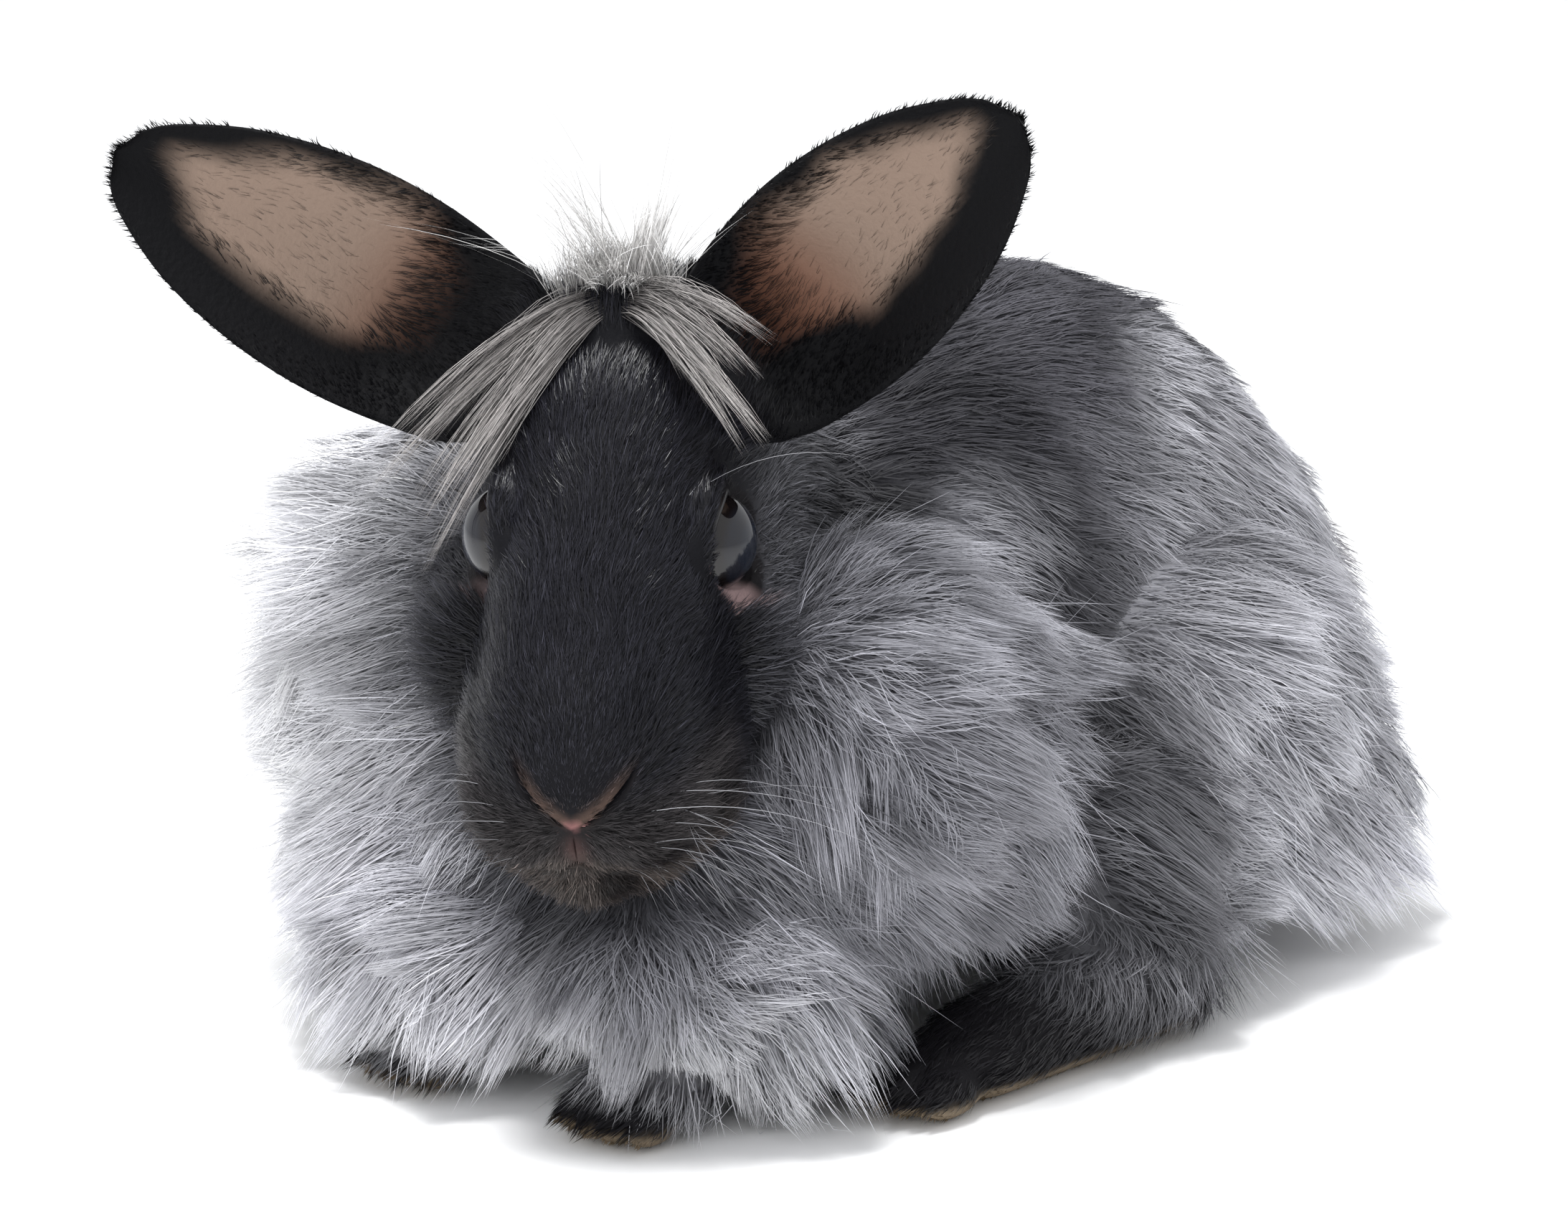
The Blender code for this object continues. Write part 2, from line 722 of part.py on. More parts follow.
def spread_roots(core, spacing, allowed, keep_off, draw):
    """Points on the core's surface at least the spacing apart, where the rule allows them."""
    mesh = core.data
    mesh.calc_loop_triangles()
    triangles = [[mesh.vertices[v].co / MM for v in tri.vertices] for tri in mesh.loop_triangles]
    areas = [(b - a).cross(c - a).length / 2 for a, b, c in triangles]
    roots = []
    for a, b, c in draw.choices(triangles, areas, k=4000):
        u, v = sorted((draw.random(), draw.random()))
        point = a * u + b * (v - u) + c * (1 - v)
        normal = (b - a).cross(c - a).normalized()
        if not allowed(point, normal) or keep_off.find_nearest(point * MM)[3] < ROOT_CLEAR * MM:
            continue
        if all((point - other).length > spacing for other, _ in roots):
            roots.append((point, normal))
    return roots


def coat_locks(core, coat, lie_of, allowed, keep_off, seed, droop=0.10):
    """The locks of one coat, each with its own length and width, spread over a core."""
    spacing, length, width, thick, lift = coat
    own = tree_of([core])
    draw = random.Random(seed)
    made = []
    for point, normal in spread_roots(core, spacing, allowed, keep_off, draw):
        lie = lie_of(point)
        lie = (lie - normal * lie.dot(normal) * 0.7).normalized()
        sway = normal.cross(lie) * draw.uniform(-0.22, 0.22)
        reach = length * draw.uniform(0.85, 1.12)
        lie = (lie + sway).normalized()
        route = grown_route(point, normal, lie, reach, lift * draw.uniform(0.7, 1.2), own, keep_off, droop)
        made += lock_and_room(route, width * draw.uniform(0.85, 1.1), thick, normal)
    return made


def with_locks(core, locks, rooms):
    """The core joined with its locks, which are first cut clear of the neighbours' rooms."""
    name = core.name
    coat = united("coat", locks)
    for room in rooms:
        cut = coat.modifiers.new("Cut", "BOOLEAN")
        cut.operation = "DIFFERENCE"
        cut.solver = "MANIFOLD"
        cut.object = room
        apply_modifiers(coat)
    body = united(name, [core, coat])
    keep_largest(body)
    return body


def ruff_lie(point):
    """Away from the neck's axis, back from the face and down, more to the back on the left side."""
    back = head_turn() @ Vector((0.0, 1.0, 0.0))
    out = point - (EYES + back * 20.0)
    out = (out - back * out.dot(back)).normalized()
    left = min(max((point.x - 5.0) / 30.0, 0.0), 1.0)
    low = min(max((60.0 - point.z) / 40.0, 0.0), 1.0)
    lie = out * (0.8 - 0.3 * low) + back * (0.35 - 0.35 * low) + Vector((0.15, 0.75, -0.15)) * left * (1 - 0.6 * low)
    return (lie + Vector((0.0, 0.0, -0.45 - 0.5 * low))).normalized()


def flank_lie(point):
    """Back and down along the side, outwards near the ground."""
    side = 1.0 if point.x > 0 else -1.0
    low = min(max((50.0 - point.z) / 50.0, 0.0), 1.0)
    return Vector((side * (0.25 + 0.35 * low), 0.75 - 0.2 * low, -0.65)).normalized()


def rump_lie(point):
    return Vector((point.x * 0.012, 0.75, -0.75)).normalized()


def forelocks(side, keep_off):
    """The bunch that falls from the crown over one ear's root."""
    made = []
    turn = head_turn()
    for k in range(FORELOCKS):
        share = k / (FORELOCKS - 1)
        start = Vector((side * (FORELOCK_ROOT.x - 3.0 * share), FORELOCK_ROOT.y + 5.0 * share, FORELOCK_ROOT.z))
        end = FORELOCK_TIPS[side] + Vector((side * 4.0 * (share - 0.5), 12.0 * (share - 0.5), 9.0 * (share - 0.3)))
        route = [start - Vector((0.0, 0.0, 4.0))]
        for i in range(LOCK_STEPS):
            t = i / (LOCK_STEPS - 1)
            bow = Vector((0.0, -1.0, 6.0)) * math.sin(math.pi * t)
            route.append(start.lerp(end, t) + bow)
        route = [EYES + turn @ p for p in route]
        route = route[:2] + [kept_off(p, keep_off, LOCK_CLEAR) for p in route[2:]]
        made += lock_and_room(route, FORELOCK_WIDTH, HEAD_LOCK_THICK, turn @ Vector((side * 0.3, -0.6, 0.8)))
    return made


def crown_tuft(keep_off):
    """Locks that stand up between the ears, bending over to either side."""
    made = []
    turn = head_turn()
    for k in range(TUFT_LOCKS):
        share = k / (TUFT_LOCKS - 1) - 0.5
        start = TUFT_CENTRE + Vector((13.0 * share, 4.0 * math.cos(7.0 * k), -4.0 * abs(share)))
        lean = Vector((0.8 * share, 0.15 + 0.35 * math.sin(5.0 * k), 1.0)).normalized()
        reach = TUFT_LENGTH * (1.0 - 0.4 * abs(share)) * (0.85 + 0.15 * math.cos(11.0 * k))
        route = [start - lean * 4.0]
        for i in range(LOCK_STEPS):
            t = i / (LOCK_STEPS - 1)
            fall = Vector((22.0 * share + 5.0 * math.sin(9.0 * k), 5.0 * math.cos(4.0 * k), -4.0)) * t * t
            route.append(start + lean * reach * t + fall)
        route = [EYES + turn @ p for p in route]
        route = route[:2] + [kept_off(p, keep_off, LOCK_CLEAR) for p in route[2:]]
        flat_to = turn @ Vector((0.3 * math.sin(6.0 * k), -1.0, 0.2))
        made += lock_and_room(route, TUFT_WIDTH, HEAD_LOCK_THICK, flat_to)
    return made


def give_finish(obj, finish):
    obj.data.materials.clear()
    obj.data.materials.append(finish)
    obj.data.polygons.foreach_set("use_smooth", [True] * len(obj.data.polygons))


def centre_on_floor(objects):
    """Moves everything so that the origin is under the middle of the animal, on the floor."""
    points = [v.co for obj in objects for v in obj.data.vertices]
    low = Vector([min(p[k] for p in points) for k in range(3)])
    high = Vector([max(p[k] for p in points) for k in range(3)])
    shift = Vector((-(low.x + high.x) / 2, -(low.y + high.y) / 2, -low.z))
    for obj in objects:
        obj.data.transform(Matrix.Translation(shift))


def add_node(nodes, rooms, name, body, gap=JOINT_GAP, near=(), room_triangles=0):
    """Cuts a body clear of the nodes near it, and keeps a copy with the gap round it for those that follow."""
    body.name = name
    rooms[name] = inflated(body, gap, room_triangles)
    nodes[name] = cut_by(body, [rooms[other] for other in near], keep_cutters=True)


def both(*names):
    return [name + side for name in names for side in ("_right", "_left")]


def grow_coat(nodes, rooms, name, make_locks, near):
    """Gives a node its locks, clear of the nodes near it."""
    keep_off = tree_of([nodes[other] for other in near])
    made = make_locks(keep_off)
    nodes[name] = with_locks(nodes[name], [blade for blade, _ in made], [rooms[other] for other in near])
    rooms[name] = united(name + "_room", [rooms[name], *(shell for _, shell in made)])


def on_flank(point, normal):
    return abs(point.x) > 46.0 and normal.z > -0.55 and abs(normal.x) > 0.3


def on_rump(point, normal):
    return point.y > 30.0 and normal.z > -0.5 and (abs(normal.x) > 0.45 or normal.y > 0.3) and point.z < 100.0


def on_ruff(point, normal):
    """Everywhere but on the faces turned to the trunk and those under the chest."""
    return normal.z > -0.75 and not (normal.y > 0.75 and point.z < 90.0)


def build_nodes():
    nodes, rooms = {}, {}
    for side_name, side in (("_right", -1), ("_left", 1)):
        add_node(nodes, rooms, "eye" + side_name, eye(side))
    ears = (("ear_right", -1, EAR_AXIS_RIGHT, EAR_FACING_RIGHT), ("ear_left", 1, EAR_AXIS_LEFT, EAR_FACING_LEFT))
    for name, side, axis, facing in ears:
        add_node(nodes, rooms, name, ear(name, side, axis, facing), 2 * JOINT_GAP)
    add_node(nodes, rooms, "head", head_body(), HEAD_GAP, both("eye", "ear"), HEAD_ROOM_TRIANGLES)
    for side_name, side in (("_right", -1), ("_left", 1)):
        add_node(nodes, rooms, "forepaw" + side_name, forepaw("forepaw", side))
        add_node(nodes, rooms, "foreleg" + side_name, foreleg("foreleg", side), near=["forepaw" + side_name])
        add_node(nodes, rooms, "hind_foot" + side_name, hind_foot("hind_foot", side))
        near = ["hind_foot" + side_name, "foreleg" + side_name]
        add_node(nodes, rooms, "thigh" + side_name, thigh("thigh", side), near=near)
    feet = both("forepaw", "foreleg", "hind_foot")
    limbs = feet + both("thigh")
    add_node(nodes, rooms, "neck_ruff", ruff_body(), near=["head", *both("eye", "ear"), *limbs])
    add_node(nodes, rooms, "tail", tail())
    add_node(nodes, rooms, "torso", torso_body(), near=["neck_ruff", "head", "tail", *limbs])
    grow_all_coats(nodes, rooms, feet)
    for room in rooms.values():
        bpy.data.objects.remove(room)
    return nodes


def grow_all_coats(nodes, rooms, feet):
    face = both("eye", "ear")

    def head_locks(keep_off):
        return forelocks(-1, keep_off) + forelocks(1, keep_off) + crown_tuft(keep_off)

    def flank_locks(name, seed):
        return lambda keep_off: coat_locks(nodes[name], FLANK_COAT, flank_lie, on_flank, keep_off, seed)

    def rump_locks(keep_off):
        return coat_locks(nodes["torso"], RUMP_COAT, rump_lie, on_rump, keep_off, SEED + 3)

    def ruff_locks(keep_off):
        return coat_locks(nodes["neck_ruff"], RUFF_COAT, ruff_lie, on_ruff, keep_off, SEED + 12, 0.14)

    grow_coat(nodes, rooms, "head", head_locks, face)
    for k, name in enumerate(both("thigh")):
        grow_coat(nodes, rooms, name, flank_locks(name, SEED + k), ["torso", "neck_ruff", *feet])
    grow_coat(nodes, rooms, "torso", rump_locks, ["neck_ruff", "tail", *both("thigh"), *feet])
    grow_coat(nodes, rooms, "neck_ruff", ruff_locks, ["head", *face, "torso", *both("thigh"), *feet])


def main():
    clear_scene()
    nodes = build_nodes()
    black = material("black_fur", BLACK_FUR, 0.6)
    grey = material("grey_fur", GREY_FUR, 0.8)
    smoke = material("smoke_fur", SMOKE_FUR, 0.8)
    glossy = material("eye", EYE_BROWN, 0.05)
    finishes = {"neck_ruff": grey, "tail": grey, "torso": smoke, "thigh_right": smoke, "thigh_left": smoke}
    for name, obj in nodes.items():
        give_finish(obj, glossy if name.startswith("eye") else finishes.get(name, black))
    centre_on_floor(list(nodes.values()))


main()
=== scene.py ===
"""The looks of a life-size lionhead rabbit: one skin under a coat of fur, eyes, lids, nose and whiskers."""
import math

import bmesh
import bpy
import numpy as np
from mathutils import Euler, Matrix, Vector
from mathutils.bvhtree import BVHTree
from mathutils.kdtree import KDTree

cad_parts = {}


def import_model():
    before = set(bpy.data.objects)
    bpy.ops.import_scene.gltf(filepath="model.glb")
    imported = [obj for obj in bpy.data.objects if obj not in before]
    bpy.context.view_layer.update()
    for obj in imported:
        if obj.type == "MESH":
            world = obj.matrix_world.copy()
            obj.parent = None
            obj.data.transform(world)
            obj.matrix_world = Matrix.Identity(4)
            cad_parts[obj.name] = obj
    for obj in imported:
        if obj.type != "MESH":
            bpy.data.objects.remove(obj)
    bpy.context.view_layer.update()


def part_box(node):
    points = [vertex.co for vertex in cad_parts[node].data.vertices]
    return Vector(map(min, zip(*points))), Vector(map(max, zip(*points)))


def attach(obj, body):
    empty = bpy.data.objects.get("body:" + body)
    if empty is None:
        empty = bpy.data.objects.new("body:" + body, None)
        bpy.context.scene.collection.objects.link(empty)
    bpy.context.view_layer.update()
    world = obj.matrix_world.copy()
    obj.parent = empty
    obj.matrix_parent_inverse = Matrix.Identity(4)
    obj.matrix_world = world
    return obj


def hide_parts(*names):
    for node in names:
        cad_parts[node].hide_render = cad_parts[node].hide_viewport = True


# Sizes are in millimetres, in the axes that the solids were built in. MM turns them into metres.
MM = 0.001
SEED = 11

SIDE_NAMES = {-1: "right", 1: "left"}

# Head: the middle of the two eyes, and how the head is turned.
EYES = Vector((14.0, -78.0, 100.0))
HEAD_YAW = math.radians(31.0)
HEAD_PITCH = math.radians(26.0)
HEAD_TURN = Euler((HEAD_PITCH, 0.0, HEAD_YAW), "XYZ").to_matrix()

# Eyeballs and lids: sizes, distances from the middle of the head, thickness of the lids and their tilt.
EYE_RADIUS = 9.0
EYE_SIDE = 16.4
LID_LENGTH = 10.2
LID_HEIGHT = 9.8
LID_SIDE = 20.0
LID_TUBE = 2.0
LID_RIM = 0.7
LID_TILT = math.radians(140.0)

# Where the lids are cut open, how wide, and how pale the skin by the inner corner is on each side.
EYE_SOCKET = Vector((24.0, -1.0, -0.2))
SOCKET_RADII = Vector((6.8, LID_LENGTH - 1.0, LID_HEIGHT - 1.4))
CORNER_PALE = {-1: 0.08, 1: 0.45}

# Head sections from nose to nape: place along the head, top, bottom, widest height, half width.
HEAD_SECTIONS = (
    (-55.0, -12.0, -24.0, -17.0, 4.0),
    (-53.5, -8.5, -29.0, -18.0, 9.0),
    (-49.5, -4.5, -35.5, -20.0, 14.5),
    (-42.0, 0.5, -42.0, -22.0, 18.0),
    (-34.0, 5.0, -45.0, -23.0, 20.0),
    (-24.0, 10.0, -46.0, -21.0, 21.0),
    (-12.0, 15.0, -46.0, -18.0, 22.0),
    (0.0, 19.5, -46.0, -18.0, 23.5),
    (12.0, 23.5, -45.0, -17.0, 26.5),
    (24.0, 25.0, -42.0, -14.0, 28.5),
    (35.0, 21.0, -36.0, -9.0, 26.0),
    (44.0, 12.0, -24.0, -7.0, 18.0),
    (47.0, 1.0, -14.0, -7.0, 6.0),
)
NOSE = Vector((0.0, -56.0, -17.5))

# Balls that round it off: centre and radii. The first two are on both sides.
CHEEK = (Vector((17.5, 7.0, -22.0)), Vector((15.0, 28.0, 20.0)))
PAD = (Vector((9.0, -44.5, -22.0)), Vector((10.5, 10.0, 9.0)))
CROWN = (Vector((-1.0, 31.0, 12.0)), Vector((17.0, 14.0, 15.5)))
CHIN = (Vector((0.0, -40.0, -35.0)), Vector((12.0, 10.5, 7.5)))

# Ears: roots in the head's own axes, and the direction to the tip and of the opening in the animal's.
EAR_LENGTH = 76.0
EAR_ROOTS = {-1: Vector((-24.0, 26.0, 12.0)), 1: Vector((21.5, 26.0, 13.0))}
EAR_AXES = {-1: Vector((-0.53, -0.64, 0.57)), 1: Vector((0.74, -0.05, 0.67))}
EAR_FACINGS = {-1: Vector((0.50, -0.80, 0.30)), 1: Vector((0.50, -0.85, 0.25))}
EAR_HALF_WIDTHS = (
    (-0.12, 10.5),
    (0.0, 16.8),
    (0.15, 19.4),
    (0.35, 20.8),
    (0.55, 19.8),
    (0.75, 16.2),
    (0.90, 10.8),
    (0.97, 6.5),
    (1.0, 1.5),
)

# How far an ear's stem stands in from its axis, how deep the cup is and how thick its wall.
EAR_INWARD = 4.0
EAR_CUP = 10.5
EAR_WALL = 2.6

# Black rims inside the ears, towards the crown and on the far side, and where the bare skin starts.
EAR_RIMS = {-1: (4.5, 12.5), 1: (4.5, 15.0)}
EAR_BASES = {-1: 0.23, 1: 0.14}

# Torso sections from chest to rump: place, top, bottom, widest height, half width.
TORSO_SECTIONS = (
    (-46.0, 84.0, 24.0, 46.0, 14.0),
    (-42.0, 96.0, 16.0, 48.0, 32.0),
    (-34.0, 107.0, 10.0, 49.0, 45.0),
    (-15.0, 118.0, 6.0, 50.0, 53.0),
    (15.0, 129.0, 6.0, 50.0, 60.0),
    (45.0, 133.0, 6.0, 50.0, 62.0),
    (75.0, 128.0, 6.0, 48.0, 62.0),
    (100.0, 110.0, 7.0, 46.0, 55.0),
    (120.0, 86.0, 11.0, 42.0, 43.0),
    (134.0, 60.0, 18.0, 39.0, 26.0),
    (140.0, 45.0, 30.0, 37.0, 8.0),
)

# Neck ruff, as balls that run into one another: centre and radii.
RUFF_BALLS = (
    (Vector((-35.0, -60.0, 72.0)), Vector((48.0, 30.0, 46.0))),
    (Vector((-31.0, -69.0, 34.0)), Vector((46.0, 34.0, 31.0))),
    (Vector((-14.0, -81.0, 24.0)), Vector((44.0, 27.0, 21.0))),
    (Vector((28.0, -75.0, 26.0)), Vector((40.0, 30.0, 23.0))),
    (Vector((40.0, -38.0, 62.0)), Vector((37.0, 42.0, 50.0))),
    (Vector((-2.0, -36.0, 98.0)), Vector((40.0, 24.0, 32.0))),
)

# What fills the skin between them: neck, front, right side and nape.
RUFF_CORE = (
    (Vector((2.0, -44.0, 88.0)), Vector((24.0, 22.0, 32.0))),
    (Vector((4.0, -62.0, 44.0)), Vector((40.0, 24.0, 26.0))),
    (Vector((-34.0, -62.0, 52.0)), Vector((32.0, 20.0, 24.0))),
    (Vector((-28.0, -58.0, 92.0)), Vector((27.0, 18.0, 19.0))),
)

# Limbs.
FORE_ELBOWS = {-1: Vector((-30.0, -34.0, 30.0)), 1: Vector((38.0, -34.0, 30.0))}
FORE_WRISTS = {-1: Vector((-19.0, -70.0, 14.0)), 1: Vector((30.0, -70.0, 14.0))}
FORE_TOES = {-1: Vector((-18.0, -98.0, 5.0)), 1: Vector((29.0, -98.0, 5.0))}
HAUNCH_BALLS = (
    (Vector((46.0, 46.0, 52.0)), Vector((38.0, 52.0, 44.0))),
    (Vector((49.0, 60.0, 36.0)), Vector((35.0, 45.0, 31.0))),
    (Vector((57.0, 12.0, 32.0)), Vector((25.0, 40.0, 28.0))),
)
HEEL = Vector((72.0, 14.0, 9.0))
HIND_TOE = Vector((60.0, -56.0, 5.0))
TAIL_ROOT = Vector((0.0, 124.0, 52.0))
TAIL_TIP = Vector((0.0, 148.0, 42.0))
TAIL_RADIUS = 15.0

# Regions of the head: how much longer the hair is there than on the nose, how much more raised in degrees,
# and the bounds. A bound is a direction, and where along it the region begins and is reached in full.
NOSE_LENGTH = 2.6
HEAD_REGIONS = {
    "behind_nose": (4.2, 0.0, ("back", -54.0, -26.0)),
    "cheek": (8.0, 12.0, ("out", 10.0, 20.0), ("down", 4.0, 18.0), ("back", -36.0, -8.0)),
    "fluff": (4.0, 22.0, ("out", 9.0, 17.0), ("back", -50.0, -34.0), ("down", 8.0, 18.0)),
    "chin": (4.0, 10.0, ("down", 27.0, 33.0), ("front", 20.0, 34.0)),
    "throat": (6.0, 10.0, ("down", 34.0, 42.0), ("back", -34.0, -18.0)),
    "nape": (8.0, 10.0, ("back", 24.0, 42.0)),
    "pads": (1.2, 18.0, ("out", 0.8, 3.0), ("down", 12.0, 18.0), ("front", 26.0, 34.0), ("up", -31.0, -27.0)),
    "jaw": (3.0, 12.0, ("out", 5.0, 10.0), ("down", 23.0, 28.0), ("front", 26.0, 36.0)),
    "muzzle": (0.0, 0.0, ("front", 26.0, 42.0), ("down", 12.0, 26.0)),
    "under_lip": (0.0, 0.0, ("down", 31.0, 37.0)),
}

# Regions of the mane and trunk, by their bounds.
LEFT_MANE = (("left", 12.0, 34.0),)
RIGHT_MANE = (("right", 10.0, 45.0),)
# The far tips on the right are whitened: pale hair, and painted light that lifts the shade falling under
# them.
PALE_AND_LIT_MANE = (("right", 30.0, 55.0),)
LOW_RIGHT_MANE = (("right", 26.0, 44.0), ("down", -66.0, -42.0))
BIB = (("down", -36.0, -20.0), ("front", 60.0, 80.0))
FLANK = (("back", 5.0, 40.0), ("down", -116.0, -88.0))
RUMP = (("back", 85.0, 120.0),)
# The shoulder is darkened as painted shade in the gap behind the mane.
SHOULDER_SHADE = (("front", -24.0, -2.0),)

# How near the head the mane is painted black, on the right and on the left: black fur by the face, and
# painted shade where the mane tucks under the cheeks and chin.
NEAR_FACE = (8.0, 16.0)

# How far the skin lies inside the solids, or what share of their size it keeps.
FACE_DEPTH = 1.3
CHEEK_DEPTH = 3.0
EAR_DEPTH = 0.9
BACK_DEPTH = 5.0
RUFF_SHARE = 0.66
FLANK_SHARE = 0.78
LEG_DEPTH = 1.5
TAIL_SHARE = 0.6
SKIN_VOXEL = 1.15
HEAD_VOXEL = 0.9

# Most triangles in one piece of the coat, and the size of a strand's patch on the map.
PIECE_TRIANGLES = 195000
PATCH = 0.003

# Places on the coat: a pale patch on the back, the pale collar and the hollow behind the left cheek, painted
# black as black fur and as painted shade.
PALE_PATCH = Vector((44.0, 60.0, 104.0))
COLLAR = Vector((54.0, -12.0, 102.0))
SHADED_HOLLOW = Vector((30.0, -34.0, 106.0))

# Stands for a distance to something that is on another part of the head.
FAR_OFF = 99.0

# Colours, as seen, 0 to 255.
FACE_BLACK = (10, 10, 12)
FACE_SHEEN = (33, 33, 39)
CHIN_BROWN = (76, 69, 65)
MUZZLE_BROWN = (46, 41, 39)
CHEEK_TIP = (62, 62, 68)
LIP_BROWN = (84, 62, 60)
PAD_TIP = (54, 51, 52)
EAR_HAIR = (62, 54, 50)
EAR_BLACK = (14, 14, 16)
EAR_BARE = (140, 121, 108)
EAR_DEEP = (112, 72, 54)
MANE_ROOT = (118, 118, 126)
MANE_DARK = (70, 70, 77)
MANE_PALE = (232, 232, 234)
MANE_TIP = (198, 198, 204)
PALE_AND_LIT_TIP = (246, 246, 247)
SHADE_ROOT = (84, 84, 90)
SHADE_TIP = (150, 150, 157)
BACK_ROOT = (52, 52, 57)
BACK_TIP = (84, 83, 89)
FLANK_ROOT = (114, 114, 121)
FLANK_TIP = (212, 212, 218)
RUMP_TIP = (128, 121, 116)
FOOT_BLACK = (24, 23, 26)
SOLE_BEIGE = (142, 127, 107)
NOSE_TAN = (104, 84, 74)
NOSE_PINK = (196, 138, 136)
LID_DARK = (22, 20, 22)
LID_PINK = (200, 170, 169)
PUPIL = (18, 23, 33)
IRIS = (20, 21, 28)
IRIS_EDGE = (14, 10, 10)
EYE_WHITE = (96, 84, 84)
FORELOCK_ROOT, FORELOCK_TIP = (92, 89, 88), (164, 160, 158)
WISP_ROOT, WISP_TIP = (186, 184, 182), (236, 235, 234)
WHISKER_PALE, WHISKER_DARK = (150, 150, 154), (46, 46, 50)

# Finishes: roughness, sheen and bumps. Then the bumps' fineness, detail and height in metres.
FINISHES = {
    "skin": (0.62, 0.08, 0.5),
    "sleek_fur": (0.28, 0.13, 0.0),
    "soft_fur": (0.65, 0.2, 0.0),
    "eye": (0.04, 0.5, 0.0),
    "lid": (0.35, 0.5, 0.0),
}
BUMP_SCALE = 900.0
BUMP_DETAIL = 4.0
BUMP_HEIGHT = 0.0006

# Camera, from the middle of the eyes, and its lens.
CAMERA_AXES = {
    "towards": Vector((0.5974, -0.7646, 0.2419)),
    "right": Vector((0.7880, 0.6157, 0.0)),
    "up": Vector((-0.1489, 0.1906, 0.9703)),
}
CAMERA_DISTANCE = 800.0
CAMERA_RIGHT = 29.7
CAMERA_UP = -11.0
CAMERA_LENS = 108.0

# Lights, in metres and watts: place, target, size and power. Then the world and the floor.
LIGHTS = {
    "overhead": ((-0.05, -0.22, 1.15), (0.0, -0.05, 0.08), 0.3, 13.0),
    "front": ((0.2, -1.3, 0.6), (0.0, -0.05, 0.08), 0.9, 3.0),
}
WORLD_SEEN = (0.97, 0.975, 0.98, 1.0)
WORLD_FILL = (0.97, 0.98, 1.0, 1.0)
FLOOR_WHITE = (0.93, 0.93, 0.93, 1.0)
FLOOR_HALF = 3.0

# Parts of the body, in the order of their weights, and the nodes that the skin takes the place of.
PARTS = ("head", "ruff", "torso", "flank", "foreleg", "foot", "tail", "ear_right", "ear_left")
SKIN_NODES = (
    "head", "ear_left", "ear_right", "neck_ruff", "torso", "thigh_left", "thigh_right", "tail",
    "foreleg_left", "foreleg_right", "forepaw_left", "forepaw_right", "hind_foot_left", "hind_foot_right",
)

# Over what distance in millimetres each part's coat blends into its neighbours'.
PART_BLUR = (4.0, 6.0, 10.0, 10.0, 4.0, 3.0, 5.0, 1.5, 1.5)

# Each part's coat: length, width and lift in degrees, and the colours of roots and tips.
COATS = {
    "head": (4.6, 0.19, 13.0, FACE_BLACK, FACE_SHEEN),
    "ruff": (31.0, 0.26, 22.0, MANE_ROOT, MANE_TIP),
    "torso": (15.0, 0.30, 14.0, BACK_ROOT, BACK_TIP),
    "flank": (30.0, 0.28, 20.0, FLANK_ROOT, FLANK_TIP),
    "foreleg": (5.5, 0.34, 16.0, FOOT_BLACK, FOOT_BLACK),
    "foot": (5.5, 0.34, 16.0, FOOT_BLACK, FOOT_BLACK),
    "tail": (13.0, 0.32, 35.0, RUMP_TIP, FLANK_TIP),
    "ear_right": (2.3, 0.24, 12.0, EAR_BLACK, EAR_BLACK),
    "ear_left": (2.3, 0.24, 12.0, EAR_BLACK, EAR_BLACK),
}

# Each coat: its parts, strands, steps, strands to a clump, pull, sway, settling, droop, map, finish and
# how uneven its shades are.
COAT_RUNS = (
    ("face_fur", ("head",), 78000, 3, 6, 0.4, 0.10, 0.9, 0.00, "head", "sleek", 0.5),
    ("ear_fur_right", ("ear_right",), 15000, 2, 5, 0.3, 0.12, 0.8, 0.00, "ear_right", "sleek", 0.2),
    ("ear_fur_left", ("ear_left",), 15000, 2, 5, 0.3, 0.12, 0.8, 0.00, "ear_left", "sleek", 0.2),
    ("ruff_fur", ("ruff",), 70000, 4, 20, 0.6, 0.2, 0.8, 0.16, "body", "soft", 0.17),
    ("back_fur", ("torso",), 44000, 3, 12, 0.4, 0.12, 1.0, 0.02, "body", "soft", 0.09),
    ("flank_fur", ("flank",), 24000, 4, 20, 0.6, 0.2, 0.9, 0.10, "body", "soft", 0.17),
    ("foot_fur", ("foreleg", "foot"), 20000, 2, 6, 0.4, 0.15, 0.8, 0.00, "feet", "sleek", 0.2),
    ("tail_fur", ("tail",), 5000, 3, 12, 0.5, 0.2, 0.6, 0.05, "body", "soft", 0.1),
)

# Long coats that hang in locks: strands to a lock, the pull of a lock's tips, and how far locks stray.
LOCKS = {"ruff_fur": (150, 0.66, 0.27), "flank_fur": (150, 0.62, 0.22), "back_fur": (90, 0.35, 0.08)}

# Share of the hairs in a coat that belong to no clump, how much longer they are, and how strands twist.
LOOSE, LOOSE_LENGTH = 0.025, 1.1
SLEEK_TWIST, SOFT_TWIST = 0.22, 0.35

# Forelocks, the wisps between the ears and the short hair at their foot.
FORELOCK_TIPS = {-1: (-33.0, 0.0, 6.0), 1: (25.0, 9.0, 25.0)}
FORELOCK_STRANDS = 520
FORELOCK_BUNCHES = 7
TUFT_STRANDS = 220
TUFT_LENGTH = 38.0
CROWN_STRANDS = 1000
FORELOCK_WIDTH = 0.17

# Whiskers and other single hairs to a side, and the longest that is drawn fine.
WHISKERS = 14
LIP_HAIRS = 30
BROW_HAIRS = 2
FINE_LENGTH = 26.0
WHISKER_WIDTH, FINE_WIDTH = 0.12, 0.085

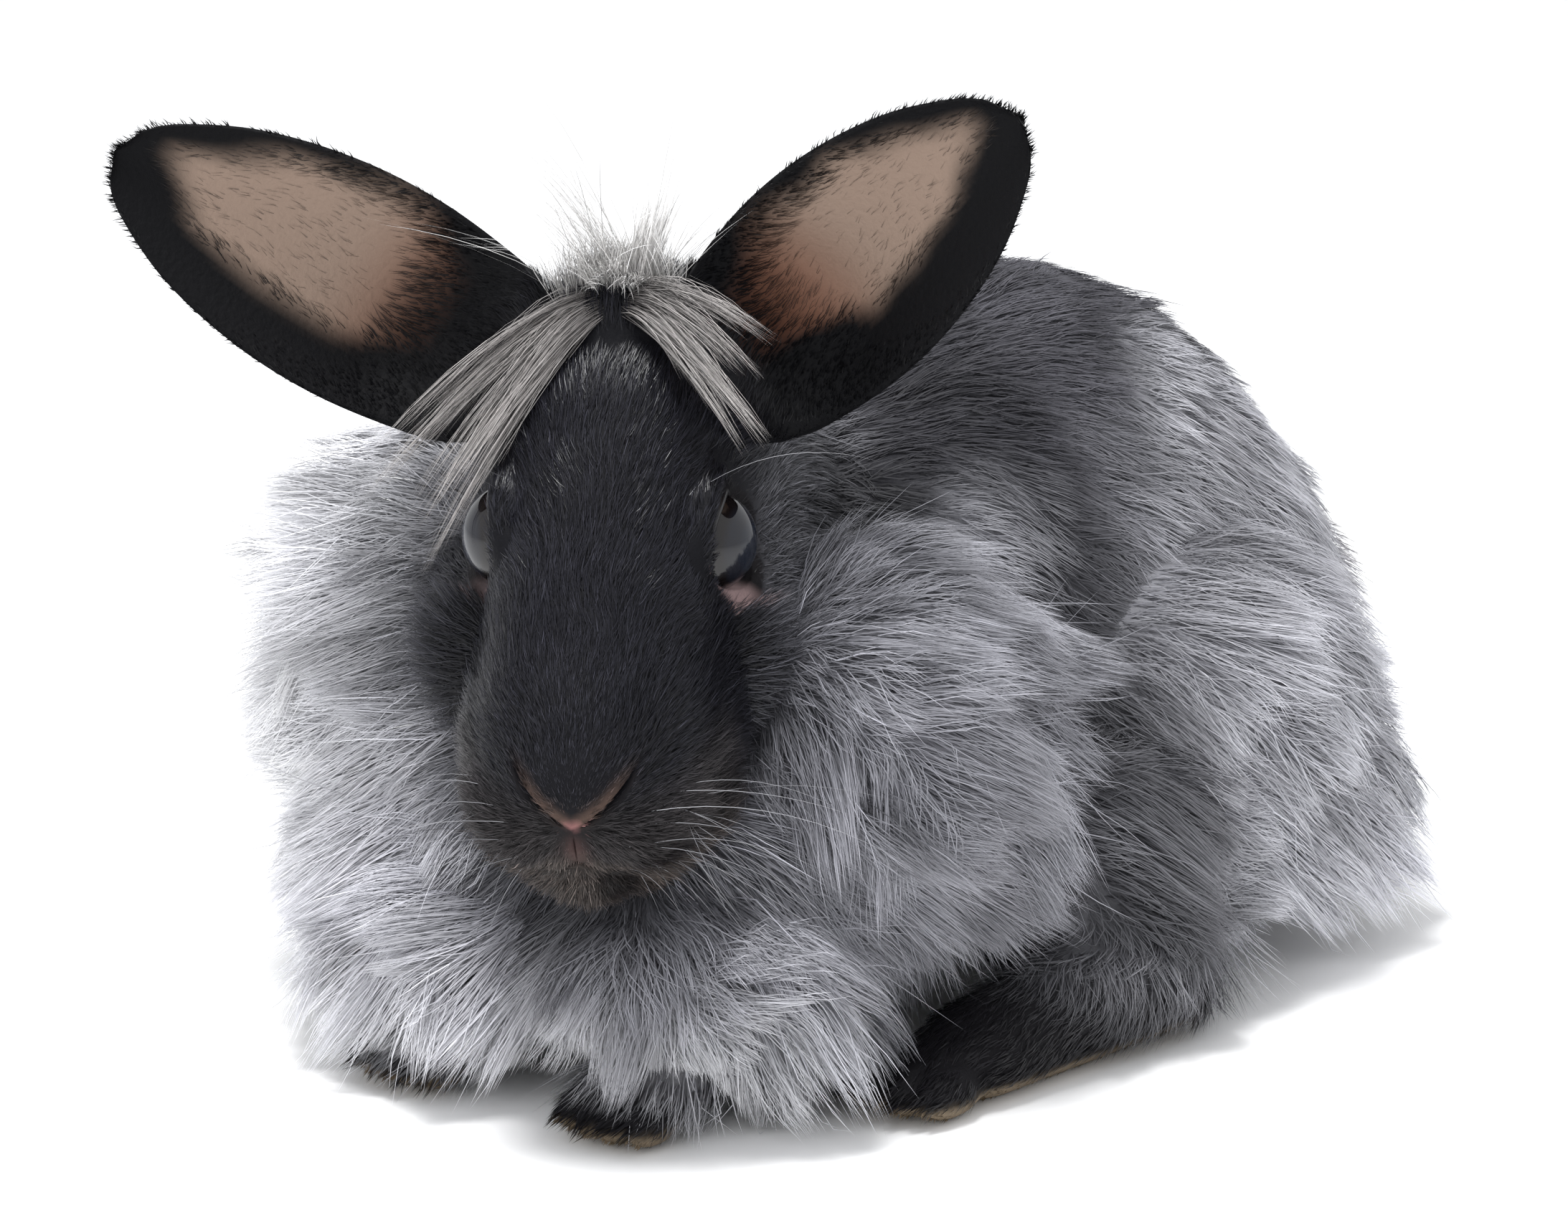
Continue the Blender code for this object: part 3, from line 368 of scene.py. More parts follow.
# Height of the mane's and flanks' hem, how much higher it is over the left forepaw, and the lowest that
# any hair of the coat comes.
HEM = 4.0
PAW_CLEAR = 9.0
LOWEST = 0.4

# How far to the sides and to the front a strand reaches at most, a little past the thighs and the ear.
SIDE_MOST = 102.0
FRONT_MOST = -127.0

SHARE = 1.0

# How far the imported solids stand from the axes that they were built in, set by main.
SHIFT = np.zeros(3)


def linear(colour):
    """A colour as seen, 0 to 255, as the light it stands for."""
    values = np.array(colour, float) / 255.0
    return np.where(values <= 0.04045, values / 12.92, ((values + 0.055) / 1.055) ** 2.4)


def ramp(values, low, high):
    """Zero up to low, one from high on, and smooth between."""
    share = np.clip((values - low) / (high - low), 0.0, 1.0)
    return share * share * (3.0 - 2.0 * share)


def unit(vectors):
    return vectors / np.maximum(np.linalg.norm(vectors, axis=-1, keepdims=True), 1e-9)


def mixed(first, second, share):
    share = np.asarray(share)[..., None]
    return first * (1.0 - share) + second * share


def waves(points, size, seed):
    """Smooth values of about -1 to 1 that change over about this size, in millimetres."""
    draw = np.random.default_rng(seed)
    total = np.zeros(points.shape[:-1])
    for _ in range(7):
        way = draw.normal(size=3)
        way *= draw.uniform(0.7, 1.5) / np.linalg.norm(way)
        total += np.sin(points @ way * math.tau / size + draw.uniform(0.0, math.tau))
    return total / 3.0


# Shapes


def placed(name, data):
    """A new object in the scene."""
    obj = bpy.data.objects.new(name, data)
    bpy.context.scene.collection.objects.link(obj)
    return obj


def object_from(name, points, faces):
    """A mesh object from points in millimetres."""
    mesh = bpy.data.meshes.new(name)
    mesh.from_pydata([tuple(p * MM) for p in points], [], faces)
    mesh.update()
    return placed(name, mesh)


def ring_body(name, rings):
    """A closed body through rings of equal count, its ends closed by fans."""
    count = len(rings[0])
    points = [p for ring in rings for p in ring]
    faces = []
    for i in range(len(rings) - 1):
        for j in range(count):
            a = i * count + j
            b = i * count + (j + 1) % count
            faces.append((a, b, b + count, a + count))
    for first, ring, turn in ((0, rings[0], True), ((len(rings) - 1) * count, rings[-1], False)):
        points.append(sum(ring, Vector()) / count)
        for j in range(count):
            corner = (first + j, first + (j + 1) % count, len(points) - 1)
            faces.append(corner[::-1] if turn else corner)
    obj = object_from(name, points, faces)
    face_outwards(obj)
    return obj


def ring_loop(name, rings):
    """A tube through rings of equal count that runs back into itself."""
    around, count = len(rings), len(rings[0])
    faces = []
    for i in range(around):
        for j in range(count):
            a, b = i * count + j, i * count + (j + 1) % count
            step = count if i < around - 1 else count - around * count
            faces.append((a, b, b + step, a + step))
    obj = object_from(name, [p for ring in rings for p in ring], faces)
    face_outwards(obj)
    return obj


def edited(obj, change):
    """Runs one mesh operation on all the faces."""
    work = bmesh.new()
    work.from_mesh(obj.data)
    change(work, faces=work.faces)
    work.to_mesh(obj.data)
    work.free()


def face_outwards(obj):
    edited(obj, bmesh.ops.recalc_face_normals)


def between(sections, place):
    """The section at a place along the body, smoothed between its neighbours."""
    last = len(sections) - 1
    i = 0
    while i < last - 1 and place > sections[i + 1][0]:
        i += 1
    low, high = sections[i], sections[i + 1]
    before, after = sections[max(i - 1, 0)], sections[min(i + 2, last)]
    span = high[0] - low[0]
    t = min(max((place - low[0]) / span, 0.0), 1.0)
    values = []
    for k in range(1, len(low)):
        slope_low = (high[k] - before[k]) / max(high[0] - before[0], 1e-6) * span
        slope_high = (after[k] - low[k]) / max(after[0] - low[0], 1e-6) * span
        values.append(
            (2 * t**3 - 3 * t**2 + 1) * low[k]
            + (t**3 - 2 * t**2 + t) * slope_low
            + (3 * t**2 - 2 * t**3) * high[k]
            + (t**3 - t**2) * slope_high
        )
    return values


def section_ring(place, section, count, depth, power=2.2):
    """Points round a body's section, drawn in by a depth."""
    top, bottom, widest, half_width = section
    half_width = max(half_width - depth, 1.0)
    ring = []
    for j in range(count):
        angle = math.tau * j / count
        across = math.copysign(abs(math.cos(angle)) ** (2 / power), math.cos(angle))
        rise = math.copysign(abs(math.sin(angle)) ** (2 / power), math.sin(angle))
        reach = max((top - widest if rise > 0 else widest - bottom) - depth, 0.8)
        ring.append(Vector((half_width * across, place, widest + reach * rise)))
    return ring


def lofted(name, sections, steps, count, depth):
    """A body lofted through a table of sections, drawn in by a depth all round."""
    first, last = sections[0][0] + depth, sections[-1][0] - depth
    rings = []
    for i in range(steps + 1):
        eased = (1 - math.cos(math.pi * i / steps)) / 2
        share = sections[0][0] + (sections[-1][0] - sections[0][0]) * eased
        place = first + (last - first) * eased
        rings.append(section_ring(place, between(sections, share), count, depth))
    return ring_body(name, rings)


def ellipsoid(name, centre, radii, segments=32):
    work = bmesh.new()
    bmesh.ops.create_uvsphere(work, u_segments=segments, v_segments=segments // 2, radius=1.0)
    matrix = Matrix.Scale(MM, 4) @ Matrix.Translation(centre) @ Matrix.Diagonal((*radii, 1.0))
    bmesh.ops.transform(work, matrix=matrix, verts=work.verts)
    mesh = bpy.data.meshes.new(name)
    work.to_mesh(mesh)
    work.free()
    return placed(name, mesh)


def limb(name, stations, count=20):
    """A tube through (centre, half width, half height) stations, closed at both ends."""
    rings = []
    for i, (centre, wide, high) in enumerate(stations):
        before = stations[max(i - 1, 0)][0]
        after = stations[min(i + 1, len(stations) - 1)][0]
        along = (after - before).normalized()
        side = along.cross(Vector((0, 0, 1))).normalized()
        up = side.cross(along)
        rings.append([
            centre + side * wide * math.cos(turn) + up * high * math.sin(turn)
            for turn in (math.tau * j / count for j in range(count))
        ])
    return ring_body(name, rings)


def apply_modifiers(obj):
    graph = bpy.context.evaluated_depsgraph_get()
    made = bpy.data.meshes.new_from_object(obj.evaluated_get(graph))
    obj.modifiers.clear()
    obj.data = made


def united(name, pieces):
    """One body from closed pieces that overlap."""
    base = pieces[0]
    base.name = name
    group = bpy.data.collections.new(name + "_pieces")
    bpy.context.scene.collection.children.link(group)
    for piece in pieces[1:]:
        bpy.context.scene.collection.objects.unlink(piece)
        group.objects.link(piece)
    union = base.modifiers.new("Union", "BOOLEAN")
    union.operation = "UNION"
    union.solver = "MANIFOLD"
    union.operand_type = "COLLECTION"
    union.collection = group
    apply_modifiers(base)
    for piece in pieces[1:]:
        bpy.data.objects.remove(piece)
    bpy.data.collections.remove(group)
    return base


def fused(obj, voxel, rounds):
    """Remeshes and smooths a body."""
    remesh = obj.modifiers.new("Remesh", "REMESH")
    remesh.mode = "VOXEL"
    remesh.voxel_size = voxel * MM
    smooth = obj.modifiers.new("Smooth", "SMOOTH")
    smooth.factor = 0.5
    smooth.iterations = rounds
    apply_modifiers(obj)
    return obj


def cut_by(obj, cutters):
    for cutter in cutters:
        cut = obj.modifiers.new("Cut", "BOOLEAN")
        cut.operation = "DIFFERENCE"
        cut.solver = "MANIFOLD"
        cut.object = cutter
        apply_modifiers(obj)
        bpy.data.objects.remove(cutter)
    return obj


def place_on_head(obj):
    """Moves a mesh made in the head's own axes to where the head is."""
    obj.data.transform(Matrix.Translation(EYES * MM) @ HEAD_TURN.to_4x4())
    return obj


def ear_frame(side):
    """The root, the direction to the tip, across and of the opening."""
    axis = EAR_AXES[side].normalized()
    facing = EAR_FACINGS[side]
    facing = (facing - axis * facing.dot(axis)).normalized()
    return EYES + HEAD_TURN @ EAR_ROOTS[side], axis, axis.cross(facing), facing


def ear_cup(share):
    """How deep the cup is at a share of the length."""
    rise = min(max((share - 0.02) / 0.25, 0.0), 1.0)
    fall = min(max((share - 0.30) / 0.70, 0.0), 1.0)
    return EAR_CUP * rise * rise * (3 - 2 * rise) * (1 - 0.85 * fall)


def ear_wall(share):
    """Wall thickness: the stem is solid, and the blade thins towards its tip."""
    solid = min(max((0.16 - share) / 0.16, 0.0), 1.0)
    return EAR_WALL * (1.0 - 0.35 * max(share, 0.0)) + 12.0 * solid * solid


def ear(side):
    """A cupped blade, drawn in by the depth of its short fur."""
    root, axis, across, facing = ear_frame(side)
    steps, half_count = 56, 20
    rings = []
    for i in range(steps + 1):
        share = -0.12 + 1.12 * math.sin(math.pi / 2 * i / steps) ** 0.9
        wide = max(between(EAR_HALF_WIDTHS, share)[0] - EAR_DEPTH, 0.8)
        cup = ear_cup(share)
        centre = root + axis * (EAR_LENGTH - EAR_DEPTH) * share - facing * 5.0 * max(share, 0.0) ** 2
        centre -= across * side * EAR_INWARD * (1.0 - share)
        outer, inner = [], []
        for j in range(-half_count, half_count + 1):
            t = j / half_count
            edge_x = math.sin(t * math.pi / 2)
            back = -cup * (1 - edge_x**2)
            wall = max(ear_wall(share) - 2 * EAR_DEPTH, 0.8) * (0.35 + 0.65 * math.cos(t * math.pi / 2))
            outer.append(centre + across * wide * edge_x + facing * (back - wall * 0.5))
            if -half_count < j < half_count:
                inner.append(centre + across * (wide * 0.96) * edge_x + facing * (back + wall * 0.5))
        rings.append(outer + inner[::-1])
    return ring_body("ear", rings)


def head_ball(name, ball, depth, side=1):
    """A ball of the head, on one side, drawn in by a depth."""
    centre, radii = ball
    return ellipsoid(name, centre * Vector((side, 1, 1)), radii - Vector((depth,) * 3))


def head_shape():
    """The head without sockets and slits."""
    pieces = [lofted("head", HEAD_SECTIONS, 60, 64, FACE_DEPTH)]
    for s in (-1, 1):
        pieces.append(head_ball("cheek", CHEEK, CHEEK_DEPTH, s))
        pieces.append(head_ball("pad", PAD, FACE_DEPTH, s))
        pieces.append(lid_ring(s))
    pieces.append(head_ball("crown", CROWN, 0.0))
    pieces.append(head_ball("chin", CHIN, FACE_DEPTH))
    return place_on_head(fused(united("head", pieces), HEAD_VOXEL, 5))


def lid_point(side, angle):
    """A point on the line of the lids, in the head's own axes."""
    point = Vector((side * LID_SIDE, LID_LENGTH * math.cos(angle), LID_HEIGHT * math.sin(angle)))
    point.x -= side * (1.6 * math.cos(angle) ** 2 + 1.0 + math.cos(angle - LID_TILT))
    return point


def lid_ring(side):
    """The two lids as one oval ring round the eye."""
    around, count = 48, 10
    rings = []
    for i in range(around):
        angle = math.tau * i / around
        middle = lid_point(side, angle)
        out = Vector((0.0, math.cos(angle), math.sin(angle)))
        ring = []
        for j in range(count):
            turn = math.tau * j / count
            lift = Vector((side * LID_TUBE * math.sin(turn), 0.0, 0.0))
            ring.append(middle + out * LID_TUBE * math.cos(turn) + lift)
        rings.append(ring)
    return ring_loop("lid", rings)


def groove(name, route, half_width, depth):
    """A thin blade that follows a route, used to cut a slit into the face."""
    rings = []
    for i, (point, outwards) in enumerate(route):
        before = route[max(i - 1, 0)][0]
        after = route[min(i + 1, len(route) - 1)][0]
        along = (after - before).normalized()
        side = along.cross(outwards).normalized()
        swell = math.sin(math.pi * (i + 0.6) / (len(route) + 0.2)) ** 0.7
        w = half_width * swell
        rings.append([
            point + outwards * 4.0 + side * w * 1.6,
            point + outwards * 4.0 - side * w * 1.6,
            point - outwards * depth * swell * 0.6 - side * w * 0.6,
            point - outwards * depth * swell,
            point - outwards * depth * swell * 0.6 + side * w * 0.6,
        ])
    return ring_body(name, rings)


def nostril_point(side, t):
    """The slit beside the nose leaf, running up and out from the middle."""
    back = -54.6 + 6.2 * t * t + 1.0 * t
    return Vector((side * (1.2 + 10.4 * t), back, -17.8 + 6.2 * t + 3.0 * t * t))


def mouth_point(t):
    """The line between the lips, from one corner to the other."""
    height = -26.5 - 2.6 * math.sin(math.pi * abs(t)) - 0.8 * abs(t)
    return Vector((14.0 * t, -52.2 + 12.0 * t * t, height))


def philtrum():
    """The line from the nose down to the mouth."""
    return [Vector((0.0, -54.4 + 1.5 * i / 8, -17.5 - 9.0 * i / 8)) for i in range(9)]


def face_slits():
    made = []
    for side in (-1, 1):
        shares = [i / 12 for i in range(13)]
        outwards = [Vector((side * (0.25 + 0.5 * t), -1.0, 0.0)).normalized() for t in shares]
        route = list(zip([nostril_point(side, t) for t in shares], outwards))
        made.append(groove("nostril", route, 0.9, 3.0))
    shares = [(i - 12) / 12 for i in range(25)]
    route = [(mouth_point(t), Vector((0.9 * t, -1.0, -0.15)).normalized()) for t in shares]
    made.append(groove("mouth", route, 0.7, 2.6))
    made.append(groove("philtrum", [(point, Vector((0.0, -1.0, 0.0))) for point in philtrum()], 0.25, 0.6))
    return [place_on_head(obj) for obj in made]


def eye_sockets():
    x, y, z = EYE_SOCKET
    return [place_on_head(ellipsoid("socket", Vector((s * x, y, z)), SOCKET_RADII, 48)) for s in (-1, 1)]


def toes(tip, side, places, splay, radii):
    """Toes side by side at a foot's tip, the outer ones further back."""
    radii = radii - Vector((LEG_DEPTH,) * 3) * 0.7
    spots = [tip + Vector((side * place * 0.9, 1.5 + abs(place) * splay, 0.0)) for place in places]
    return [ellipsoid("toe", spot, radii) for spot in spots]


def foreleg(side):
    elbow, wrist, toe = FORE_ELBOWS[side], FORE_WRISTS[side], FORE_TOES[side]
    shoulder = Vector((side * 28.0, -16.0, 48.0))
    d = LEG_DEPTH
    pieces = [
        limb("leg", [(shoulder, 9.0, 11.0), (shoulder.lerp(elbow, 0.5), 12.0, 13.0), (elbow, 12.0, 13.0)]),
        limb("lower", [(elbow, 10.0, 11.0), (elbow.lerp(wrist, 0.5), 10.0, 10.5), (wrist, 8.5, 8.0)]),
        ellipsoid("bend", elbow, Vector((12.5, 13.0, 13.0))),
        limb("sole", [
            (wrist + Vector((0, 4, -1)), 8.5 - d, 8.0 - d),
            (wrist.lerp(toe, 0.4) + Vector((0, 0, -0.5)), 10.5 - d, 9.0 - d),
            (wrist.lerp(toe, 0.75), 12.0 - d, 8.0 - d),
            (toe + Vector((0, 1, 0)), 8.0 - d, 5.0 - d),
        ]),
    ]
    low = toe + Vector((0.0, 0.0, -0.5))
    pieces += toes(low, side, (-8.4, -2.8, 2.8, 8.4), 0.25, Vector((3.8, 8.0, 5.2)))
    return united("foreleg", pieces)


def hind_foot(side):
    mirror = Vector((side, 1, 1))
    heel, toe = HEEL * mirror, HIND_TOE * mirror
    d = LEG_DEPTH
    pieces = [limb("foot", [
        (heel + Vector((0, 6, 3)), 6.0 - d, 7.0 - d),
        (heel + Vector((0, -2, 3)), 9.5 - d, 13.0 - d),
        (heel.lerp(toe, 0.4) + Vector((0, 0, 3)), 11.0 - d, 12.5 - d),
        (heel.lerp(toe, 0.75) + Vector((0, 0, 1.5)), 12.0 - d, 10.0 - d),
        (toe + Vector((0, 1, 0)), 9.0 - d, 5.5 - d),
    ])]
    pieces += toes(toe, side, (-9.0, -3.0, 3.0, 9.0), 0.3, Vector((4.4, 10.0, 5.8)))
    return united("foot", pieces)


def thigh(side):
    mirror = Vector((side, 1, 1))
    balls = [ellipsoid("ball", centre * mirror, radii * FLANK_SHARE) for centre, radii in HAUNCH_BALLS]
    return united("thigh", balls)


def ruff():
    balls = [ellipsoid("ball", centre, radii * RUFF_SHARE) for centre, radii in RUFF_BALLS]
    balls += [ellipsoid("core", centre, radii) for centre, radii in RUFF_CORE]
    return fused(united("ruff", balls), 2.0, 40)


def tail():
    stem = ellipsoid("stem", TAIL_ROOT, Vector((9.0, 14.0, 9.0)))
    tuft = ellipsoid("tuft", TAIL_ROOT.lerp(TAIL_TIP, 0.6), Vector((TAIL_RADIUS, 18.0, 14.0)) * TAIL_SHARE)
    return united("tail", [stem, tuft])


def sources():
    """The bodies that the skin is made of, by part."""
    return {
        "head": [head_shape()],
        "ruff": [ruff()],
        "torso": [lofted("torso", TORSO_SECTIONS, 40, 64, BACK_DEPTH)],
        "flank": [thigh(-1), thigh(1)],
        "foreleg": [foreleg(-1), foreleg(1)],
        "foot": [hind_foot(-1), hind_foot(1)],
        "tail": [tail()],
        "ear_right": [ear(-1)],
        "ear_left": [ear(1)],
    }


def tree_of(objects):
    points, faces = [], []
    for obj in objects:
        first = len(points)
        points += [v.co / MM for v in obj.data.vertices]
        faces += [[first + v for v in face.vertices] for face in obj.data.polygons]
    return BVHTree.FromPolygons(points, faces)


def build_skin():
    """The skin object in the build axes, and a search tree for each part's surface."""
    parts = sources()
    trees = {name: tree_of(objects) for name, objects in parts.items()}
    body = [obj for name in PARTS[:7] for obj in parts[name]]
    skin = fused(united("skin", body), SKIN_VOXEL, 4)
    skin = united("skin", [skin, *parts["ear_right"], *parts["ear_left"]])
    cut_by(skin, [*eye_sockets(), *face_slits()])
    edited(skin, bmesh.ops.triangulate)
    return skin, trees


# Fields over the skin


def to_head(points):
    """Points in the head's own axes."""
    return (points - np.array(EYES)) @ np.array(HEAD_TURN)


def from_head(vectors):
    """Directions in the head's own axes, turned to the animal's."""
    return vectors @ np.array(HEAD_TURN).T


def head_places(points):
    """Points in the head's own axes, turned and moved to where the head is."""
    return from_head(points) + np.array(EYES)


def triples(items, field, kind=np.float32):
    """Three values of each item, such as a point's place or a triangle's corners."""
    values = np.empty(len(items) * 3, kind)
    items.foreach_get(field, values)
    return values.reshape(-1, 3)


def points_of(obj):
    """The object's points in millimetres."""
    return triples(obj.data.vertices, "co").astype(float) / MM


def part_weights(points, trees):
    """How much each part has of each point, by the distance to its surface."""
    far = np.empty((len(points), len(PARTS)))
    for k, name in enumerate(PARTS):
        find = trees[name].find_nearest
        far[:, k] = [find(p)[3] for p in points]
    far -= far.min(axis=1, keepdims=True)
    weights = np.exp(-(far / np.array(PART_BLUR)) ** 2)
    return weights / weights.sum(axis=1, keepdims=True)


def ear_place(points, side):
    """Share of the ear's length, place across from -1 to 1, and the distance to the rim."""
    root, axis, across = ear_frame(side)[:3]
    off = points - np.array(root)
    share = off @ np.array(axis) / EAR_LENGTH
    wide = np.interp(share, *np.array(EAR_HALF_WIDTHS).T)
    x = (off @ np.array(across) + side * EAR_INWARD * (1.0 - share)) / wide
    rim = np.minimum(wide * (1.0 - np.abs(x)), (1.0 - share) * EAR_LENGTH * 0.62)
    return share, x, rim


def ear_bare(points, normals, side):
    """How bare the skin is inside the ear, between rims that are broad on the far side."""
    share, x, rim = ear_place(points, side)
    outer = ramp(side * x, -0.35, 0.35)
    near_rim, far_rim = EAR_RIMS[side]
    band = near_rim + (far_rim - near_rim) * outer + 3.0 * ramp(share, 0.55, 0.9) * (1.0 - outer)
    band = band + 5.0 * ramp(0.32 - share, 0.0, 0.2) + 0.9 * waves(points, 15.0, 5)
    inner = ramp(normals @ np.array(ear_frame(side)[3]), 0.0, 0.25)
    base = ramp(share, EAR_BASES[side] - 0.1, EAR_BASES[side] + 0.1)
    return inner * ramp(rim, band - 3.5, band + 3.5) * base


def head_lie(points):
    """Away from the nose, then back over the brow and out over the cheeks."""
    q = to_head(points)
    radial = unit(q - np.array(NOSE))
    side = np.sign(q[:, 0]) * np.minimum(np.abs(q[:, 0]) / 12.0, 1.0)
    low = ramp(-q[:, 2], 0.0, 30.0)
    back = np.stack([side * (0.10 + 0.60 * low), 1.0 - 0.45 * low, -0.05 - 0.45 * low], axis=1)
    return from_head(mixed(radial, unit(back), ramp(q[:, 1], -48.0, -12.0)))


def ruff_lie(points):
    """Away from the neck's axis and back from the face, down in front and back on the left side."""
    back = np.array(HEAD_TURN @ Vector((0.0, 1.0, 0.0)))
    out = points - (np.array(EYES) + back * 20.0)
    out = unit(out - back * (out @ back)[:, None])
    left = np.clip((points[:, 0] - 8.0) / 30.0, 0.0, 1.0)[:, None]
    right = np.clip((-8.0 - points[:, 0]) / 30.0, 0.0, 1.0)[:, None]
    low = np.clip((60.0 - points[:, 2]) / 40.0, 0.0, 1.0)[:, None]
    lie = out * (0.9 - 0.42 * low) + back * (0.30 - 0.30 * low)
    lie = lie + np.array((0.30, 0.60, -0.30)) * left * (1.0 - 0.5 * low)
    high = ramp(points[:, 2], 84.0, 104.0)[:, None]
    lie = lie + (np.array((-0.60, 0.0, 0.15)) + np.array((0.0, -0.1, 0.2)) * high) * right * (1.0 - 0.7 * low)
    lie[:, 2] += -0.22 - 0.68 * low[:, 0]
    return unit(lie)


def flank_lie(points):
    """Back and down along the side, outwards near the ground."""
    side = np.sign(points[:, 0])
    low = np.clip((50.0 - points[:, 2]) / 50.0, 0.0, 1.0)
    down = np.full(len(points), -0.65)
    return unit(np.stack([side * (0.25 + 0.35 * low), 0.75 - 0.2 * low, down], axis=1))


def torso_lie(points, normals):
    """Straight back along the spine, and down towards the belly."""
    steep = np.abs(normals[:, 0])
    return unit(np.stack([points[:, 0] * 0.006, np.ones(len(points)), -0.15 - 0.75 * steep], axis=1))


def leg_lie(points):
    return np.tile(unit(np.array([0.0, -0.9, -0.35])), (len(points), 1))


def tail_lie(points):
    out = unit(points - np.array(TAIL_ROOT))
    return unit(out + np.array((0.0, 0.5, -0.5)))


def ear_lie(points, normals, side):
    """Towards the tip, and in the cup in from the rim over the bare skin."""
    axis, across, facing = (np.array(v) for v in ear_frame(side)[1:])
    x = ear_place(points, side)[1]
    inner = ramp(normals @ facing, 0.0, 0.25)
    return unit(axis + across * (x * (0.45 - 1.15 * inner))[:, None])


def skin_fields(obj, trees):
    """Everything the coat and the colours need, for each point of the skin."""
    points, faces = points_of(obj), triples(obj.data.polygons, "vertices", np.int32)
    normals = triples(obj.data.vertices, "normal").astype(float)
    weights = part_weights(points, trees)
    lies = (
        head_lie(points),
        ruff_lie(points),
        torso_lie(points, normals),
        flank_lie(points),
        leg_lie(points),
        leg_lie(points),
        tail_lie(points),
        ear_lie(points, normals, -1),
        ear_lie(points, normals, 1),
    )
    fields = {"points": points, "normals": normals, "faces": faces, "weights": weights}
    fields["lie"] = sum(weights[:, k, None] * lie for k, lie in enumerate(lies))
    for k, name in enumerate(("length", "width", "lift")):
        fields[name] = weights @ np.array([COATS[part][k] for part in PARTS])
    fields["root"] = weights @ np.array([linear(COATS[part][3]) for part in PARTS])
    fields["tip"] = weights @ np.array([linear(COATS[part][4]) for part in PARTS])
    fields["dense"] = np.ones(len(points))
    fields["bare"] = np.zeros(len(points))
    fields["from_head"] = np.array([trees["head"].find_nearest(p)[3] for p in points])
    shape_head_coat(fields)
    shape_ear_coat(fields)
    shape_body_coat(fields)
    return fields


def paint(fields, name, colour, share):
    fields[name] = mixed(fields[name], linear(colour), share)


def route_distance(points, route):
    """Distance to the nearest of a line's points."""
    route = np.array([tuple(p) for p in route])
    return np.min(np.linalg.norm(points[:, None, :] - route[None], axis=2), axis=1)


def paint_all(fields, colour, share, names=("root", "tip", "skin_colour")):
    for name in names:
        paint(fields, name, colour, share)


def within(points, centre, reach, fade):
    """One inside a ball round a place, falling to nothing at its reach."""
    return ramp(reach - np.linalg.norm(points - np.array(centre), axis=1), 0.0, fade)


def dye(fields, share, **colours):
    """Colours the roots and tips over a region: each a colour and how strong it is there."""
    for name, (colour, strength) in colours.items():
        paint(fields, name, colour, share * strength)


def blend(fields, name, value, share):
    fields[name] = fields[name] * (1.0 - share) + value * share


def region(points, bounds):
    """How far inside a region each point is, from 0 to 1: one ramp for each direction that bounds it."""
    x, y, z = points.T
    ways = {"left": x, "right": -x, "out": np.abs(x), "back": y, "front": -y, "up": z, "down": -z}
    share = 1.0
    for way, low, high in bounds:
        share = share * ramp(ways[way], low, high)
    return share


def shape_face_lengths(fields, q, on_head):
    """Short on the nose and longer elsewhere. Gives back how far inside each region the points are."""
    found = {}
    length, lift = NOSE_LENGTH, 0.0
    for name, (longer, raised, *bounds) in HEAD_REGIONS.items():
        found[name] = region(q, bounds)
        length = length + longer * found[name]
        lift = lift + raised * found[name]
    blend(fields, "length", length, on_head)
    fields["lift"] = fields["lift"] + on_head * lift
    return found


def paint_muzzle(fields, on_head, found):
    """Brown over the muzzle and chin, paler towards the tips of the hair."""
    chin = found["chin"] * (1.0 - 0.55 * found["under_lip"])
    for name, share in (("root", 0.3), ("tip", 1.0)):
        paint(fields, name, MUZZLE_BROWN, on_head * found["muzzle"] * 0.8 * share)
        paint(fields, name, PAD_TIP, on_head * found["pads"] * (share - 0.3))
        paint(fields, name, CHIN_BROWN, on_head * chin * share)
        paint(fields, name, CHEEK_TIP, on_head * found["cheek"] * (share - 0.3))


